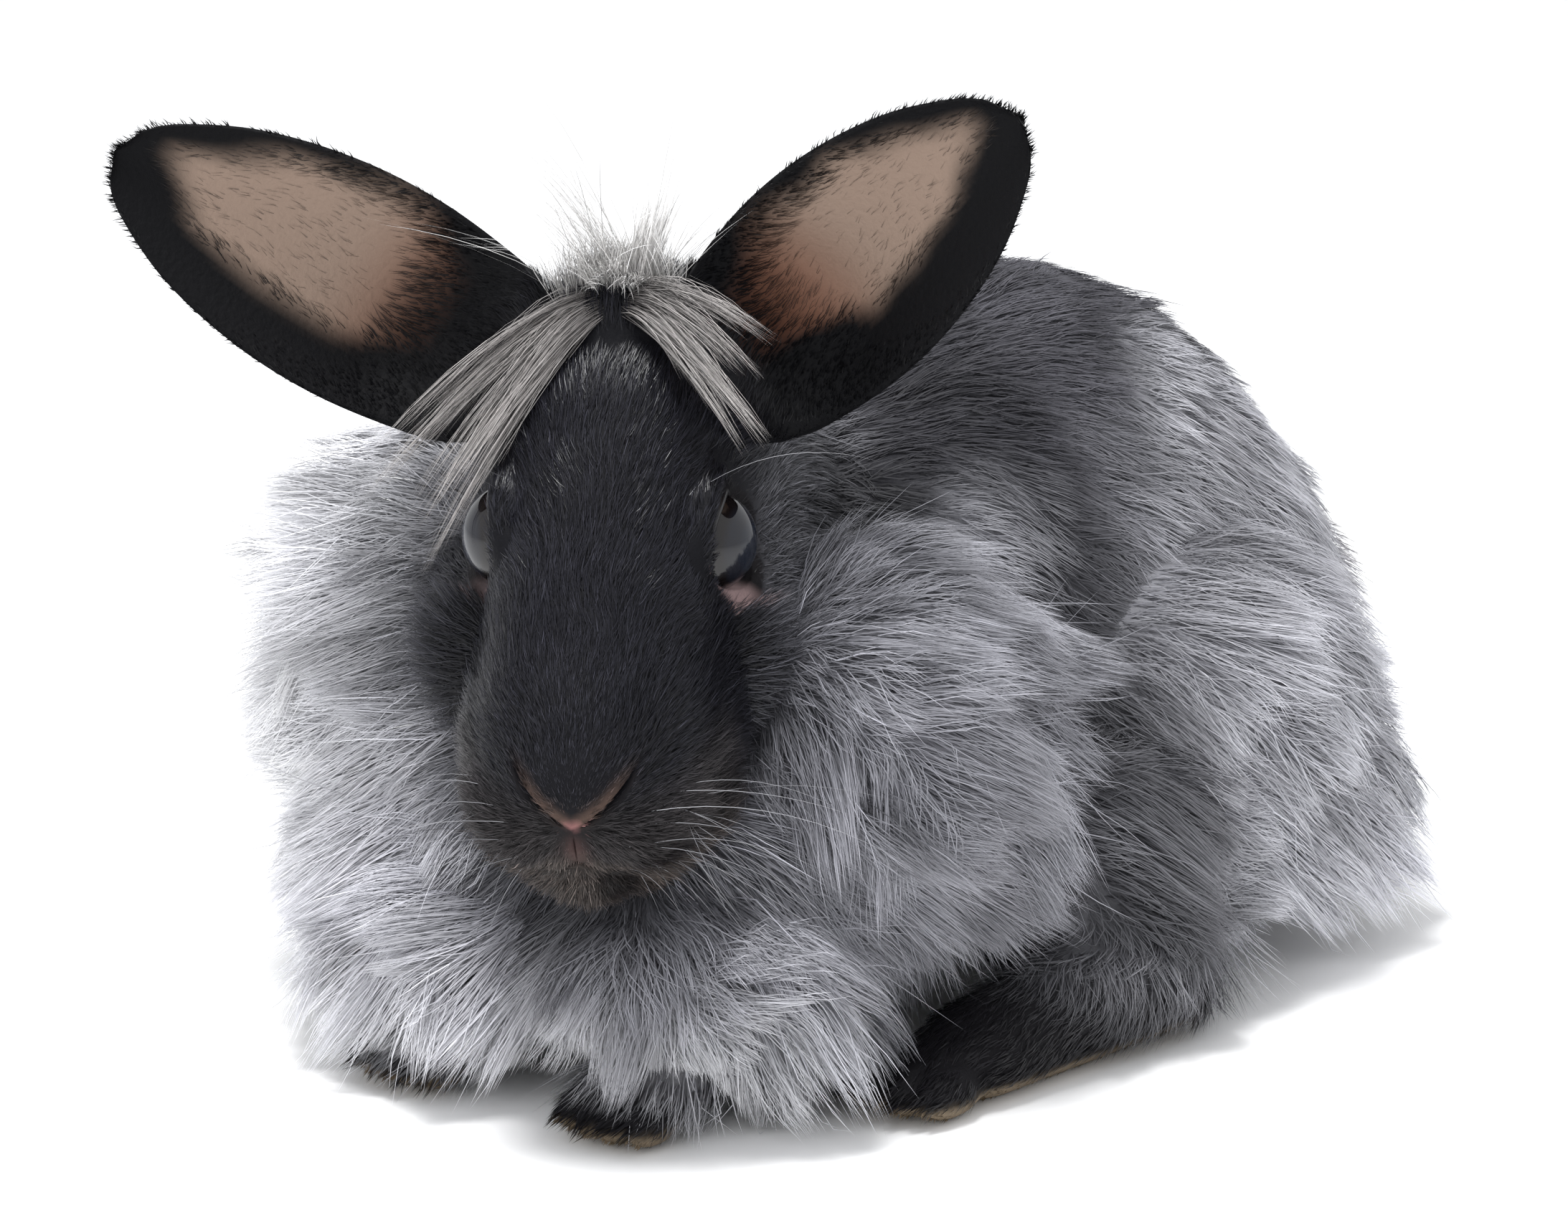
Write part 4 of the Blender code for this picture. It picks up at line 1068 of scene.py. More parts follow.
def shape_nose_and_lips(fields, q, on_head):
    """The bare, tan edge over each nostril, the pink tip, the brown lips and a painted shadow in the gap in
    the chin.
    """
    x, y, z = q.T
    near = np.where(on_head > 0.5)[0]
    near = near[y[near] < -30.0]

    def to_route(route, rise=0.0):
        found = np.full(len(q), FAR_OFF)
        found[near] = route_distance(q[near] - np.array((0.0, 0.0, rise)), route)
        return found

    nostrils = [nostril_point(s, i / 20) for s in (-1, 1) for i in range(21)]
    mouth = [mouth_point((i - 20) / 20) for i in range(41)]
    slits = to_route(nostrils + mouth + philtrum())
    lips = to_route(mouth, 1.4)
    rims = to_route(nostrils, 1.5)
    for name, share in (("root", 0.3), ("tip", 0.8)):
        paint(fields, name, CHIN_BROWN, share * ramp(3.4 - lips - waves(q, 5.0, 17), 0.0, 2.2))
    off = q - np.array((0.0, -55.2, -17.4))
    off[:, 2] -= 0.5 * np.abs(off[:, 0])
    tip = np.linalg.norm(off * np.array((0.6, 1.0, 1.1)), axis=1)
    lip = np.hypot(x * 0.8, (z + 23.0) * 0.45) + FAR_OFF * (y > -40.0)
    paint_all(fields, LIP_BROWN, 0.4 * ramp(2.4 - lip, 0.0, 2.0), ("root", "tip"))
    # Painted shadow between the two chin tufts: black over the gap, with shorter hair there.
    chin_shadow = np.hypot((x - 5.0) * 0.7, (z + 33.0) * 0.45) + FAR_OFF * (y > -30.0)
    chin_shadow = ramp(3.2 - chin_shadow, 0.0, 2.0)
    paint_all(fields, FACE_BLACK, 0.75 * chin_shadow, ("root", "tip"))
    fields["length"] *= 1.0 - 0.45 * chin_shadow
    fields["dense"] *= ramp(slits, 0.6, 1.2)
    nose = ramp(2.2 - rims, 0.0, 2.0) * (1.0 - 0.7 * ramp(np.abs(x), 3.0, 11.0))
    fields["bare"] = np.maximum(fields["bare"], 0.9 * ramp(1.0 - rims, 0.0, 0.7))
    fields["skin_colour"] = fields["root"] * 0.75 + fields["tip"] * 0.25
    for name, share in (("root", 0.35), ("tip", 0.62), ("skin_colour", 0.62)):
        paint(fields, name, NOSE_TAN, nose * share)
        paint(fields, name, NOSE_PINK, ramp(2.1 - tip, 0.0, 1.2) * 0.75)


def shape_round_eye(fields, q, on_head, s):
    """Bare lids with a dark edge, a pale inner corner and short hair all round."""
    x, y, z = q.T
    this_side = x * s > 8.0
    corner = within(q, (s * 19.0, -6.2, -8.6), 3.2, 2.2)
    paint_all(fields, LID_PINK, 0.75 * corner)
    off = (q - np.array((s * EYE_SOCKET.x, EYE_SOCKET.y, EYE_SOCKET.z))) / np.array(SOCKET_RADII)
    from_eye = np.linalg.norm(off, axis=1)
    fields["bare"][this_side & (from_eye < 1.04)] = 1.0
    lids = ramp(1.34 - from_eye, 0.0, 0.1) * this_side * (1.0 - corner)
    paint_all(fields, LID_DARK, lids, ("skin_colour", "tip"))
    around = np.degrees(np.arctan2(z - EYE_SOCKET.z, EYE_SOCKET.y - y))
    wide = 1.14 + 0.3 * ramp(-around, 25.0, 60.0)
    pale = ramp(around, -98.0, -76.0) * ramp(15.0 - around, 0.0, 20.0)
    paint_all(fields, LID_PINK, CORNER_PALE[s] * pale * ramp(wide - from_eye, 0.0, 0.1) * this_side)
    near_eye = np.hypot(y, z) * this_side + FAR_OFF * ~this_side
    blend(fields, "length", 3.0, ramp(13.0 - near_eye, 0.0, 3.5) * on_head)
    front = ramp(1.5 - from_eye, 0.0, 0.35) * ramp(-y, -4.0, 2.0)
    blend(fields, "length", 0.9, front * this_side)


def shape_head_coat(fields):
    """The face's hair, the browns of the muzzle and the bare edges of nose, lips and lids."""
    q = to_head(fields["points"])
    on_head = fields["weights"][:, 0]
    paint_muzzle(fields, on_head, shape_face_lengths(fields, q, on_head))
    shape_nose_and_lips(fields, q, on_head)
    for s in (-1, 1):
        shape_round_eye(fields, q, on_head, s)
    fields["dense"] *= 1.0 - fields["bare"]
    fields["dense"] *= 1.0 + on_head * (0.7 * ramp(-q[:, 1], 5.0, 40.0))


def shape_ear_coat(fields):
    """Black outside and along the rims, and bare in the cup."""
    for k, side in ((7, -1), (8, 1)):
        on_ear = ramp(fields["weights"][:, k], 0.4, 0.7)
        bare = ear_bare(fields["points"], fields["normals"], side) * on_ear
        share = ear_place(fields["points"], side)[0]
        deep = ramp(0.45 - share, 0.0, 0.35)
        colour = mixed(linear(EAR_BARE), linear(EAR_DEEP), deep)
        fields["skin_colour"] = mixed(fields["skin_colour"], colour, bare)
        fringe = 4.0 * bare * (1.0 - bare)
        fields["dense"] *= 1.0 - 0.72 * bare
        fields["width"] = fields["width"] * (1.0 - 0.5 * bare)
        fields["length"] = fields["length"] + 2.6 * bare + 2.4 * fringe
        hair = mixed(linear(EAR_HAIR), colour, 0.35)
        for name in ("root", "tip"):
            fields[name] = mixed(fields[name], hair, bare**2)


def shape_mane(fields, on_torso, on_ruff):
    """Black and short by the face, as black fur and painted shade; pale and long on the right, its far tips
    whitened as pale hair and painted light; greyer on the left, with a pale bib.
    """
    p, far = fields["points"], fields["from_head"]
    # By the face the mane is painted black and dark: black fur, and painted shade where it tucks under the
    # cheeks and chin.
    reach = ramp(p[:, 0], -24.0, 12.0) * (1.0 - 0.45 * ramp(p[:, 2], 84.0, 102.0))
    reach = NEAR_FACE[0] + (NEAR_FACE[1] - NEAR_FACE[0]) * reach
    ragged = 3.0 * waves(p, 14.0, 13) + 4.0 * waves(p, 4.5, 14)
    paint(fields, "root", FACE_BLACK, on_ruff * ramp(reach + 6.0 - far - ragged, 0.0, 14.0))
    paint(fields, "tip", MANE_DARK, on_ruff * ramp(reach - far - ragged, 0.0, 10.0))
    paint(fields, "tip", FACE_BLACK, on_ruff * ramp(0.5 * reach - far, 0.0, 6.0))
    fields["length"] = fields["length"] * (1.0 - 0.40 * on_ruff * ramp(9.0 - far, 0.0, 8.0))
    dye(fields, on_ruff * region(p, LEFT_MANE), root=(SHADE_ROOT, 0.7), tip=(SHADE_TIP, 0.75))
    collar = (on_torso + on_ruff) * within(p, COLLAR, 27.0, 14.0)
    dye(fields, collar, root=(MANE_ROOT, 0.8), tip=(MANE_TIP, 0.8))
    fields["length"] += 9.0 * on_torso * collar
    # Black fur and painted shade in the hollow behind the left cheek, with shorter hair there.
    hollow_black_and_shade = (on_torso + on_ruff) * within(p, SHADED_HOLLOW, 20.0, 9.0)
    dye(fields, hollow_black_and_shade, root=(FACE_BLACK, 1.0), tip=(FACE_BLACK, 0.85))
    fields["length"] *= 1.0 - 0.45 * hollow_black_and_shade
    dye(fields, on_ruff * region(p, BIB), root=(MANE_TIP, 0.3), tip=(MANE_PALE, 0.7))
    fields["length"] -= 12.0 * on_ruff * region(p, LOW_RIGHT_MANE)
    # Whitened far tips on the right: pale hair, and painted light over the shade under them.
    dye(fields, on_ruff * region(p, PALE_AND_LIT_MANE), tip=(PALE_AND_LIT_TIP, 0.7))


def shape_trunk(fields, on_torso, on_body, on_ruff):
    """The painted shade on the shoulder, the pale flank, the browner rump and the thin coat underneath."""
    p, z = fields["points"], fields["points"][:, 2]
    side = ramp(np.abs(fields["normals"][:, 0]), 0.45, 0.85)
    flank = on_torso * side * region(p, FLANK)
    right_mane = on_ruff * region(p, RIGHT_MANE)
    fields["length"] += right_mane * (6.0 * ramp(z, 30.0, 60.0) - 8.0 * ramp(z, 88.0, 104.0))
    dye(fields, right_mane, root=(MANE_TIP, 0.45), tip=(MANE_PALE, 0.7))
    fields["length"] += 12.0 * flank
    fields["lift"] += 6.0 * flank
    dye(fields, flank, root=(FLANK_ROOT, 0.85), tip=(FLANK_TIP, 0.85))
    dye(fields, on_torso * within(p, PALE_PATCH, 30.0, 14.0), tip=(FLANK_TIP, 0.7))
    dye(fields, on_body * region(p, RUMP), tip=(RUMP_TIP, 0.7))
    # Painted shade on the shoulder, in the gap behind the mane.
    dye(fields, on_body * region(p, SHOULDER_SHADE), root=(FOOT_BLACK, 0.8), tip=(BACK_ROOT, 0.8))
    under = (on_body + on_ruff) * ramp(-fields["normals"][:, 2], 0.75, 0.95)
    fields["dense"] *= 1.0 - 0.85 * under


def shape_body_coat(fields):
    """Trunk, mane and the beige soles, and the colour of the skin below the coat."""
    weights = fields["weights"]
    on_ruff, on_torso = weights[:, 1], weights[:, 2]
    shape_trunk(fields, on_torso, on_torso + weights[:, 3], on_ruff)
    shape_mane(fields, on_torso, on_ruff)
    feet = weights[:, 4] + weights[:, 5]
    sole = feet * ramp(4.5 - fields["points"][:, 2], 0.0, 2.0)
    paint_all(fields, SOLE_BEIGE, sole, ("root", "tip"))
    fields["length"] = np.where(sole > 0.3, 2.0, fields["length"])
    body = 1.0 - weights[:, 0] - weights[:, 7] - weights[:, 8]
    colour = (fields["root"] + fields["tip"]) * 0.5
    fields["skin_colour"] = mixed(fields["skin_colour"], colour * 0.7, np.clip(body, 0.0, 1.0))


# Coat


def pick_roots(fields, parts, count, draw):
    """Random roots on the skin, as many to the square millimetre as the parts and the density ask for."""
    faces, points = fields["faces"], fields["points"]
    a, b, c = (points[faces[:, k]] for k in range(3))
    area = np.linalg.norm(np.cross(b - a, c - a), axis=1) / 2.0
    share = sum(fields["weights"][:, PARTS.index(part)] for part in parts)
    chance = area * np.clip((share * fields["dense"])[faces].mean(axis=1), 0.0, None)
    chosen = np.searchsorted(np.cumsum(chance), draw.random(count) * chance.sum())
    chosen = np.minimum(chosen, len(faces) - 1)
    u, v = draw.random(count), draw.random(count)
    flip = u + v > 1.0
    u, v = np.where(flip, 1.0 - u, u), np.where(flip, 1.0 - v, v)
    corners = np.stack([1.0 - u - v, u, v], axis=1)
    found = {}
    for name in ("points", "normals", "lie", "root", "tip"):
        found[name] = np.einsum("nk,nkd->nd", corners, fields[name][faces[chosen]])
    for name in ("length", "width", "lift"):
        found[name] = np.einsum("nk,nk->n", corners, fields[name][faces[chosen]])
    found["normals"] = unit(found["normals"])
    return found


def strand_paths(found, steps, sway, settle, droop, draw):
    """Paths along the lie, bending back to the skin, or off along the lie where it points outwards."""
    n, count = found["normals"], len(found["length"])
    way = unit(found["lie"])
    out = np.einsum("nd,nd->n", way, n)
    flat = unit(way - n * out[:, None])
    side = np.cross(n, flat)
    turned = (draw.normal(0.0, sway, count) + 0.22 * waves(found["points"], 16.0, 3))[:, None]
    flat = unit(flat + side * turned)
    lift = np.radians(found["lift"] * draw.uniform(0.6, 1.4, count))
    free = ramp(out, np.sin(lift) - 0.2, np.sin(lift) + 0.25)
    lifted = n * np.sin(lift)[:, None] + flat * np.cos(lift)[:, None]
    start = unit(mixed(lifted, unit(way + side * turned + n * 0.1), free))
    bend = (flat - start) * (settle * (1.0 - free))[:, None] + np.array((0.0, 0.0, -droop))
    t = np.linspace(0.0, 1.0, steps + 1)[None, :, None]
    length = found["length"][:, None, None]
    path = start[:, None] * t + bend[:, None] * t * t * 0.5
    curl = side * (draw.normal(0.0, 0.055, count))[:, None]
    path = path + curl[:, None] * np.sin(t * math.pi * 1.6)
    return (found["points"] - n * 0.35)[:, None] + path * length


def kept_above(found, height):
    """Shortens the hair that would hang below this height, or a higher one over the left forepaw."""
    points = found["points"]
    over = ramp(17.0 - np.abs(points[:, 0] - FORE_TOES[1].x), 0.0, 6.0)
    over = over * ramp(-60.0 - points[:, 1], 0.0, 12.0)
    floor = height + PAW_CLEAR * over
    drop = np.maximum(found["length"] * 0.85, 1.0)
    share = np.clip((points[:, 2] - floor) / drop, 0.22, 1.0)
    found["length"] = found["length"] * share


def grouped(roots, together, draw):
    """Puts each strand in a group round the nearest of some roots drawn at random."""
    count = len(roots)
    centres = draw.choice(count, max(4, count // max(1, int(together))), replace=False)
    tree = KDTree(len(centres))
    for k, i in enumerate(centres):
        tree.insert(roots[i], k)
    tree.balance()
    return np.array([tree.find(p)[1] for p in roots]), len(centres)


def group_means(values, group, groups):
    sums = np.zeros((groups, *values.shape[1:]))
    np.add.at(sums, group, values)
    number = np.maximum(np.bincount(group, minlength=groups), 1)
    return sums / number.reshape(-1, *([1] * (values.ndim - 1)))


def clumped(paths, together, pull, held, draw):
    """Draws the held strands' tips together into clumps of about this many."""
    group, groups = grouped(paths[:, 0], together, draw)
    middle = group_means(paths, group, groups)
    t = np.linspace(0.0, 1.0, paths.shape[1])[None, :, None]
    strength = (pull * held * draw.uniform(0.5, 1.2, len(paths)))[:, None, None]
    return paths + (middle[group] - paths) * np.clip(strength * t**1.3, 0.0, 0.95)


def tufted(paths, normals, together, stray, draw):
    """Gathers long hair into pointed locks, each with its own length, direction and shade."""
    group, groups = grouped(paths[:, 0], together, draw)
    roots = paths[:, 0]
    middle = group_means(roots, group, groups)
    off = np.linalg.norm(roots - middle[group], axis=1)
    widest = np.zeros(groups)
    np.maximum.at(widest, group, off)
    edge = off / np.maximum(widest[group], 1e-6)
    size = draw.uniform(0.7, 1.24, groups)[group] * (1.0 - 0.42 * edge**1.5)
    t = np.linspace(0.0, 1.0, paths.shape[1])[None, :, None]
    reach = np.linalg.norm(paths[:, -1] - roots, axis=1)[:, None, None]
    turn = draw.normal(0.0, stray, (groups, 3))[group] + draw.normal(0.0, 0.05, roots.shape)
    turn = turn - normals * np.einsum("nd,nd->n", turn, normals)[:, None] * 0.6
    grown = roots[:, None] + (paths - roots[:, None]) * size[:, None, None] + turn[:, None] * reach * t**1.4
    shade = np.exp(np.clip(draw.normal(0.0, 0.13, groups), -0.3, 0.14))[group]
    return grown, shade


def ribbon_points(paths, facing, width, twist, draw):
    """Pairs of points along each path and one at the tip, with the blade turned a little at random."""
    count, rows = paths.shape[:2]
    along = unit(np.gradient(paths, axis=1))
    side = unit(np.cross(along, facing[:, None]))
    up = np.cross(side, along)
    turn = draw.normal(0.0, twist, count)[:, None, None]
    side = side * np.cos(turn) + up * np.sin(turn)
    t = np.linspace(0.0, 1.0, rows)
    profile = (0.75 + 0.5 * t) * (1.0 - t**1.5) ** 0.8
    half = (width[:, None] * profile[None] * 0.5)[..., None]
    left, right = paths - side * half, paths + side * half
    pairs = np.stack([left[:, :-1], right[:, :-1]], axis=2).reshape(count, -1, 3)
    return np.concatenate([pairs, paths[:, -1:]], axis=1)


def ribbon_faces(count, rows):
    """Triangles of all the ribbons, which have this many rows of points."""
    one = []
    for i in range(rows - 2):
        a = 2 * i
        one += [(a, a + 1, a + 3), (a, a + 3, a + 2)]
    last = 2 * (rows - 2)
    one.append((last, last + 1, last + 2))
    per = 2 * (rows - 1) + 1
    return (np.array(one)[None] + (np.arange(count) * per)[:, None, None]).reshape(-1, 3)


def ribbon_rows(values):
    """Repeats values given by row for both points of each pair."""
    return np.concatenate([np.repeat(values[:, :-1], 2, axis=1), values[:, -1:]], axis=1)


def mesh_from_arrays(name, points, faces):
    mesh = bpy.data.meshes.new(name)
    mesh.vertices.add(len(points))
    mesh.vertices.foreach_set("co", points.astype(np.float32).ravel())
    mesh.loops.add(len(faces) * 3)
    mesh.loops.foreach_set("vertex_index", faces.astype(np.int32).ravel())
    mesh.polygons.add(len(faces))
    mesh.polygons.foreach_set("loop_start", np.arange(0, len(faces) * 3, 3, dtype=np.int32))
    mesh.polygons.foreach_set("use_smooth", np.ones(len(faces), bool))
    mesh.update(calc_edges=True)
    return mesh


def set_colours(mesh, colours):
    layer = mesh.color_attributes.new("coat", "FLOAT_COLOR", "POINT")
    values = np.ones((len(colours), 4), np.float32)
    values[:, :3] = np.clip(colours, 0.0, 1.0)
    layer.data.foreach_set("color", values.ravel())


def set_patches(mesh, places, faces, rows):
    """Gives each strand its own small patch of the map, at its root's place on the unwrapped skin."""
    layer = mesh.uv_layers.new(name="OFBake")
    t = np.linspace(-0.5, 0.5, rows)
    across = np.concatenate([np.tile([-0.5, 0.5], rows - 1), [0.0]])
    down = np.concatenate([np.repeat(t[:-1], 2), t[-1:]])
    patch = np.stack([across, down], axis=1) * PATCH
    uv = (places[:, None] + patch[None]).reshape(-1, 2)
    layer.data.foreach_set("uv", uv[faces.ravel()].astype(np.float32).ravel())


def unwrapped(points, kind):
    """Where a root lies on the unwrapped skin: round the part's long axis and along it, from 0 to 1."""
    if kind == "head":
        q = to_head(points)
        angle = np.arctan2(q[:, 0], q[:, 2] + 14.0)
        along = (q[:, 1] + 62.0) / 125.0
    elif kind in ("ear_right", "ear_left"):
        side = -1 if kind == "ear_right" else 1
        root, axis, across, facing = (np.array(v) for v in ear_frame(side))
        off = points - root
        angle = np.arctan2(off @ across, off @ facing + 6.0)
        along = (off @ axis / EAR_LENGTH + 0.15) / 1.2
    elif kind == "feet":  # Each foot has its own quarter of the way round.
        slot = (points[:, 0] > 0) * 2 + (np.abs(points[:, 0]) > 46.0)
        centre = np.choose(slot, [-19.0, -64.0, 30.0, 64.0])
        angle = np.arctan2(points[:, 0] - centre, points[:, 2] - 8.0)
        angle = ((angle / math.tau + 0.5) + slot) / 4.0 * math.tau - math.pi
        along = (points[:, 1] + 115.0) / 150.0
    else:
        angle = np.arctan2(points[:, 0], points[:, 2] - 50.0)
        along = (points[:, 1] + 120.0) / 290.0
    return np.clip(np.stack([angle / math.tau + 0.5, along], axis=1), 0.0, 1.0) * 0.98 + 0.01


def drawn_in(paths):
    """Strands that would reach past the sides, shortened towards their roots."""
    roots = paths[:, :1]
    inside = np.abs(roots[:, 0, 0] + SHIFT[0])
    reach = np.abs(paths[..., 0] + SHIFT[0]).max(axis=1)
    share = np.clip((SIDE_MOST - inside) / np.maximum(reach - inside, 0.1), 0.1, 1.0)
    return roots + (paths - roots) * share[:, None, None]


def add_coat(name, paths, facing, width, root, tip, kind, finish, draw, uneven=0.10):
    """Makes the joined meshes of one coat, each under the limit of triangles."""
    paths = drawn_in(paths)
    count, rows = paths.shape[:2]
    twist = SLEEK_TWIST if finish.name == "sleek_fur" else SOFT_TWIST
    points = ribbon_points(paths, facing, width, twist, draw)
    t = np.linspace(0.0, 1.0, rows)[None, :, None] ** 1.1
    shade = np.exp(draw.normal(0.0, uneven, count))[:, None, None]
    colours = ribbon_rows((root[:, None] * (1.0 - t) + tip[:, None] * t) * shade)
    places = unwrapped(paths[:, 0], kind)
    per_strand = 2 * (rows - 2) + 1
    size = PIECE_TRIANGLES // per_strand
    made = []
    for k, first in enumerate(range(0, count, size)):
        part = slice(first, min(first + size, count))
        faces = ribbon_faces(part.stop - part.start, rows)
        places_m = (points[part].reshape(-1, 3) + SHIFT) * MM
        mesh = mesh_from_arrays(f"{name}_{k + 1}", places_m, faces)
        set_colours(mesh, colours[part].reshape(-1, 3))
        set_patches(mesh, places[part], faces, rows)
        mesh.materials.append(finish)
        made.append(placed(mesh.name, mesh))
    return made


def grow_coats(fields, finishes):
    made = {}
    for k, run in enumerate(COAT_RUNS):
        name, parts, count, steps, together, pull, sway, settle, droop, kind, finish, uneven = run
        draw = np.random.default_rng(SEED + k)
        found = pick_roots(fields, parts, int(count * SHARE), draw)
        found["length"] = found["length"] * draw.uniform(0.62, 1.08, len(found["length"]))
        loose = draw.random(len(found["length"])) < LOOSE
        found["length"] = np.where(loose, found["length"] * LOOSE_LENGTH, found["length"])
        if name in ("ruff_fur", "flank_fur"):
            kept_above(found, HEM)
        paths = strand_paths(found, steps, sway, settle, droop, draw)
        shade = np.exp(0.12 * waves(found["points"], 22.0, 9))
        if name in LOCKS:
            in_lock, lock_pull, stray = LOCKS[name]
            paths, lock_shade = tufted(paths, found["normals"], in_lock * SHARE, stray, draw)
            paths = clumped(paths, in_lock * SHARE, lock_pull, 1.0 - loose, draw)
            shade = shade * lock_shade
        paths = clumped(paths, max(together * SHARE, 3), pull, 1.0 - loose, draw)
        paths[..., 2] = np.maximum(paths[..., 2], LOWEST)
        tint = shade[:, None]
        width = found["width"] / math.sqrt(SHARE)
        root, tip = found["root"] * tint, found["tip"] * tint
        made[name] = add_coat(
            name, paths, found["normals"], width, root, tip, kind, finishes[finish], draw, uneven
        )
    return made


def bent_strands(starts, middles, ends, steps):
    t = np.linspace(0.0, 1.0, steps + 1)[None, :, None]
    return starts[:, None] * (1 - t) ** 2 + middles[:, None] * 2 * t * (1 - t) + ends[:, None] * t * t


def head_roots(places, tree):
    """The nearest skin to places given in the head's own axes."""
    hits = [tree.find_nearest(p) for p in head_places(places)]
    return np.array([tuple(hit[0]) for hit in hits]), np.array([tuple(hit[1]) for hit in hits])


def forelock_paths(side, tree, draw):
    """One side's bunch: locks that part from one another towards their tips."""
    count = int(FORELOCK_STRANDS * SHARE)
    bunch = draw.integers(0, FORELOCK_BUNCHES, count)
    share = (bunch + 0.5) / FORELOCK_BUNCHES
    centres = draw.normal(0.0, 1.0, (FORELOCK_BUNCHES, 3))
    places = np.stack([
        side * (1.0 + 5.0 * draw.random(count)) - 1.0,
        27.0 + 9.0 * share + draw.uniform(-1.5, 1.5, count),
        np.full(count, 30.0),
    ], axis=1)
    starts, normals = head_roots(places, tree)
    ends = np.array(FORELOCK_TIPS[side]) + centres[bunch] * (1.5, 1.2, 1.5)
    ends = ends + np.stack([side * 7.0 * (share - 0.5), 20.0 * (share - 0.5), 13.0 * (share - 0.35)], axis=1)
    ends = ends + draw.normal(0.0, 1.0, (count, 3)) * (0.6, 0.7, 0.7)
    ends = head_places(ends)
    reach = (draw.uniform(0.45, 1.1, count) * (0.8 + 0.25 * np.abs(centres[bunch, 0])))[:, None]
    ends = starts + (ends - starts) * np.clip(reach, 0.4, 1.15)
    rise = 6.0 + 3.0 * share + draw.normal(0.0, 0.7, count)
    rise = np.stack([np.full(count, side), np.full(count, -1.0), rise], axis=1)
    rise = rise + draw.normal(0.0, 1.3, (count, 3))
    middles = starts + (ends - starts) * 0.42 + from_head(rise)
    return bent_strands(starts, middles, ends, 6), normals


def tuft_paths(tree, draw, count, length, spread):
    """Wisps that stand between the ears, leaning apart."""
    places = draw.normal(0.0, 1.0, (count, 3)) * (spread, 2.6, 0.0) + (-1.0, 38.0, 30.0)
    starts, normals = head_roots(places, tree)
    group, groups = grouped(starts, count // 9, draw)
    leans = draw.normal(0.0, 1.0, (groups, 3)) * (0.26, 0.25, 0.0)
    lean = leans[group] + np.stack([places[:, 0] * 0.03, np.full(count, 0.1), np.ones(count)], axis=1)
    lean = from_head(unit(lean + draw.normal(0.0, 0.09, (count, 3))))
    reach = length * draw.uniform(0.35, 1.0, count)[:, None] * draw.uniform(0.7, 1.2, groups)[group, None]
    middles = starts + lean * reach * 0.6
    aside = from_head(np.concatenate([leans[:, :2] * 1.2, np.full((groups, 1), -0.1)], axis=1)[group])
    ends = starts + (lean + aside) * reach + draw.normal(0.0, 0.07, (count, 3)) * reach
    paths = bent_strands(starts, middles, ends, 6)
    return clumped(paths, 12.0 * SHARE, 0.4, 1.0, draw), normals


def add_forelocks(tree, finish):
    """The two bunches that fall outwards from the crown, and the wisps that stand between the ears."""
    draw = np.random.default_rng(SEED + 50)
    made = [forelock_paths(side, tree, draw) for side in (-1, 1)]
    made.append(tuft_paths(tree, draw, int(TUFT_STRANDS * SHARE), TUFT_LENGTH, 4.5))
    made.append(tuft_paths(tree, draw, int(CROWN_STRANDS * SHARE), TUFT_LENGTH * 0.45, 6.5))
    counts = [len(item[0]) for item in made]
    paths = np.concatenate([item[0] for item in made])
    normals = np.concatenate([item[1] for item in made])
    pale = np.repeat([0.0, 0.0, 1.0, 0.8], counts)
    root = mixed(linear(FORELOCK_ROOT), linear(WISP_ROOT), pale)
    tip = mixed(linear(FORELOCK_TIP), linear(WISP_TIP), pale)
    width = np.full(len(paths), FORELOCK_WIDTH / math.sqrt(SHARE))
    return add_coat("forelock_fur", paths, normals, width, root, tip, "head", finish, draw, 0.3)


# Eyes, whiskers


def smooth(obj):
    obj.data.polygons.foreach_set("use_smooth", [True] * len(obj.data.polygons))


def finished_eye(obj, colours, finish):
    """Colours a smooth piece made in the head's own axes, and sets it on the head."""
    set_colours(obj.data, colours)
    place_on_head(obj)
    smooth(obj)
    obj.data.materials.append(finish)
    return obj


def add_eye(side, finish):
    """The eyeball: pupil, iris, its dark edge and the white, each by the angle from where it looks."""
    middle = Vector((side * EYE_SIDE, 0.0, 0.0))
    obj = ellipsoid(f"eyeball_{SIDE_NAMES[side]}", middle, Vector((EYE_RADIUS,) * 3), 64)
    gaze = unit(np.array((side * 1.0, -0.22, 0.06)))
    away = np.degrees(np.arccos(np.clip(unit(points_of(obj) - np.array(middle)) @ gaze, -1.0, 1.0)))
    colour = mixed(linear(PUPIL), linear(IRIS), ramp(away, 26.0, 30.0))
    colour = mixed(colour, linear(IRIS_EDGE), ramp(away, 44.0, 52.0))
    colour = mixed(colour, linear(EYE_WHITE), ramp(away, 68.0, 74.0))
    return finished_eye(obj, colour, finish)


def eye_rim_point(side, angle, grow):
    """A point on the eyeball where the lids meet it, in the head's own axes."""
    out = np.array((math.cos(angle), math.sin(angle)))
    free = np.hypot(*(out * (EYE_RADIUS - 0.4, EYE_RADIUS - 0.8)))
    x = min(math.sqrt(EYE_RADIUS**2 - free**2), abs(lid_point(side, angle).x) + 1.3 - EYE_SIDE)
    reach = math.sqrt(EYE_RADIUS**2 - x * x) + grow
    return Vector((side * (EYE_SIDE + x), reach * out[0], reach * out[1]))


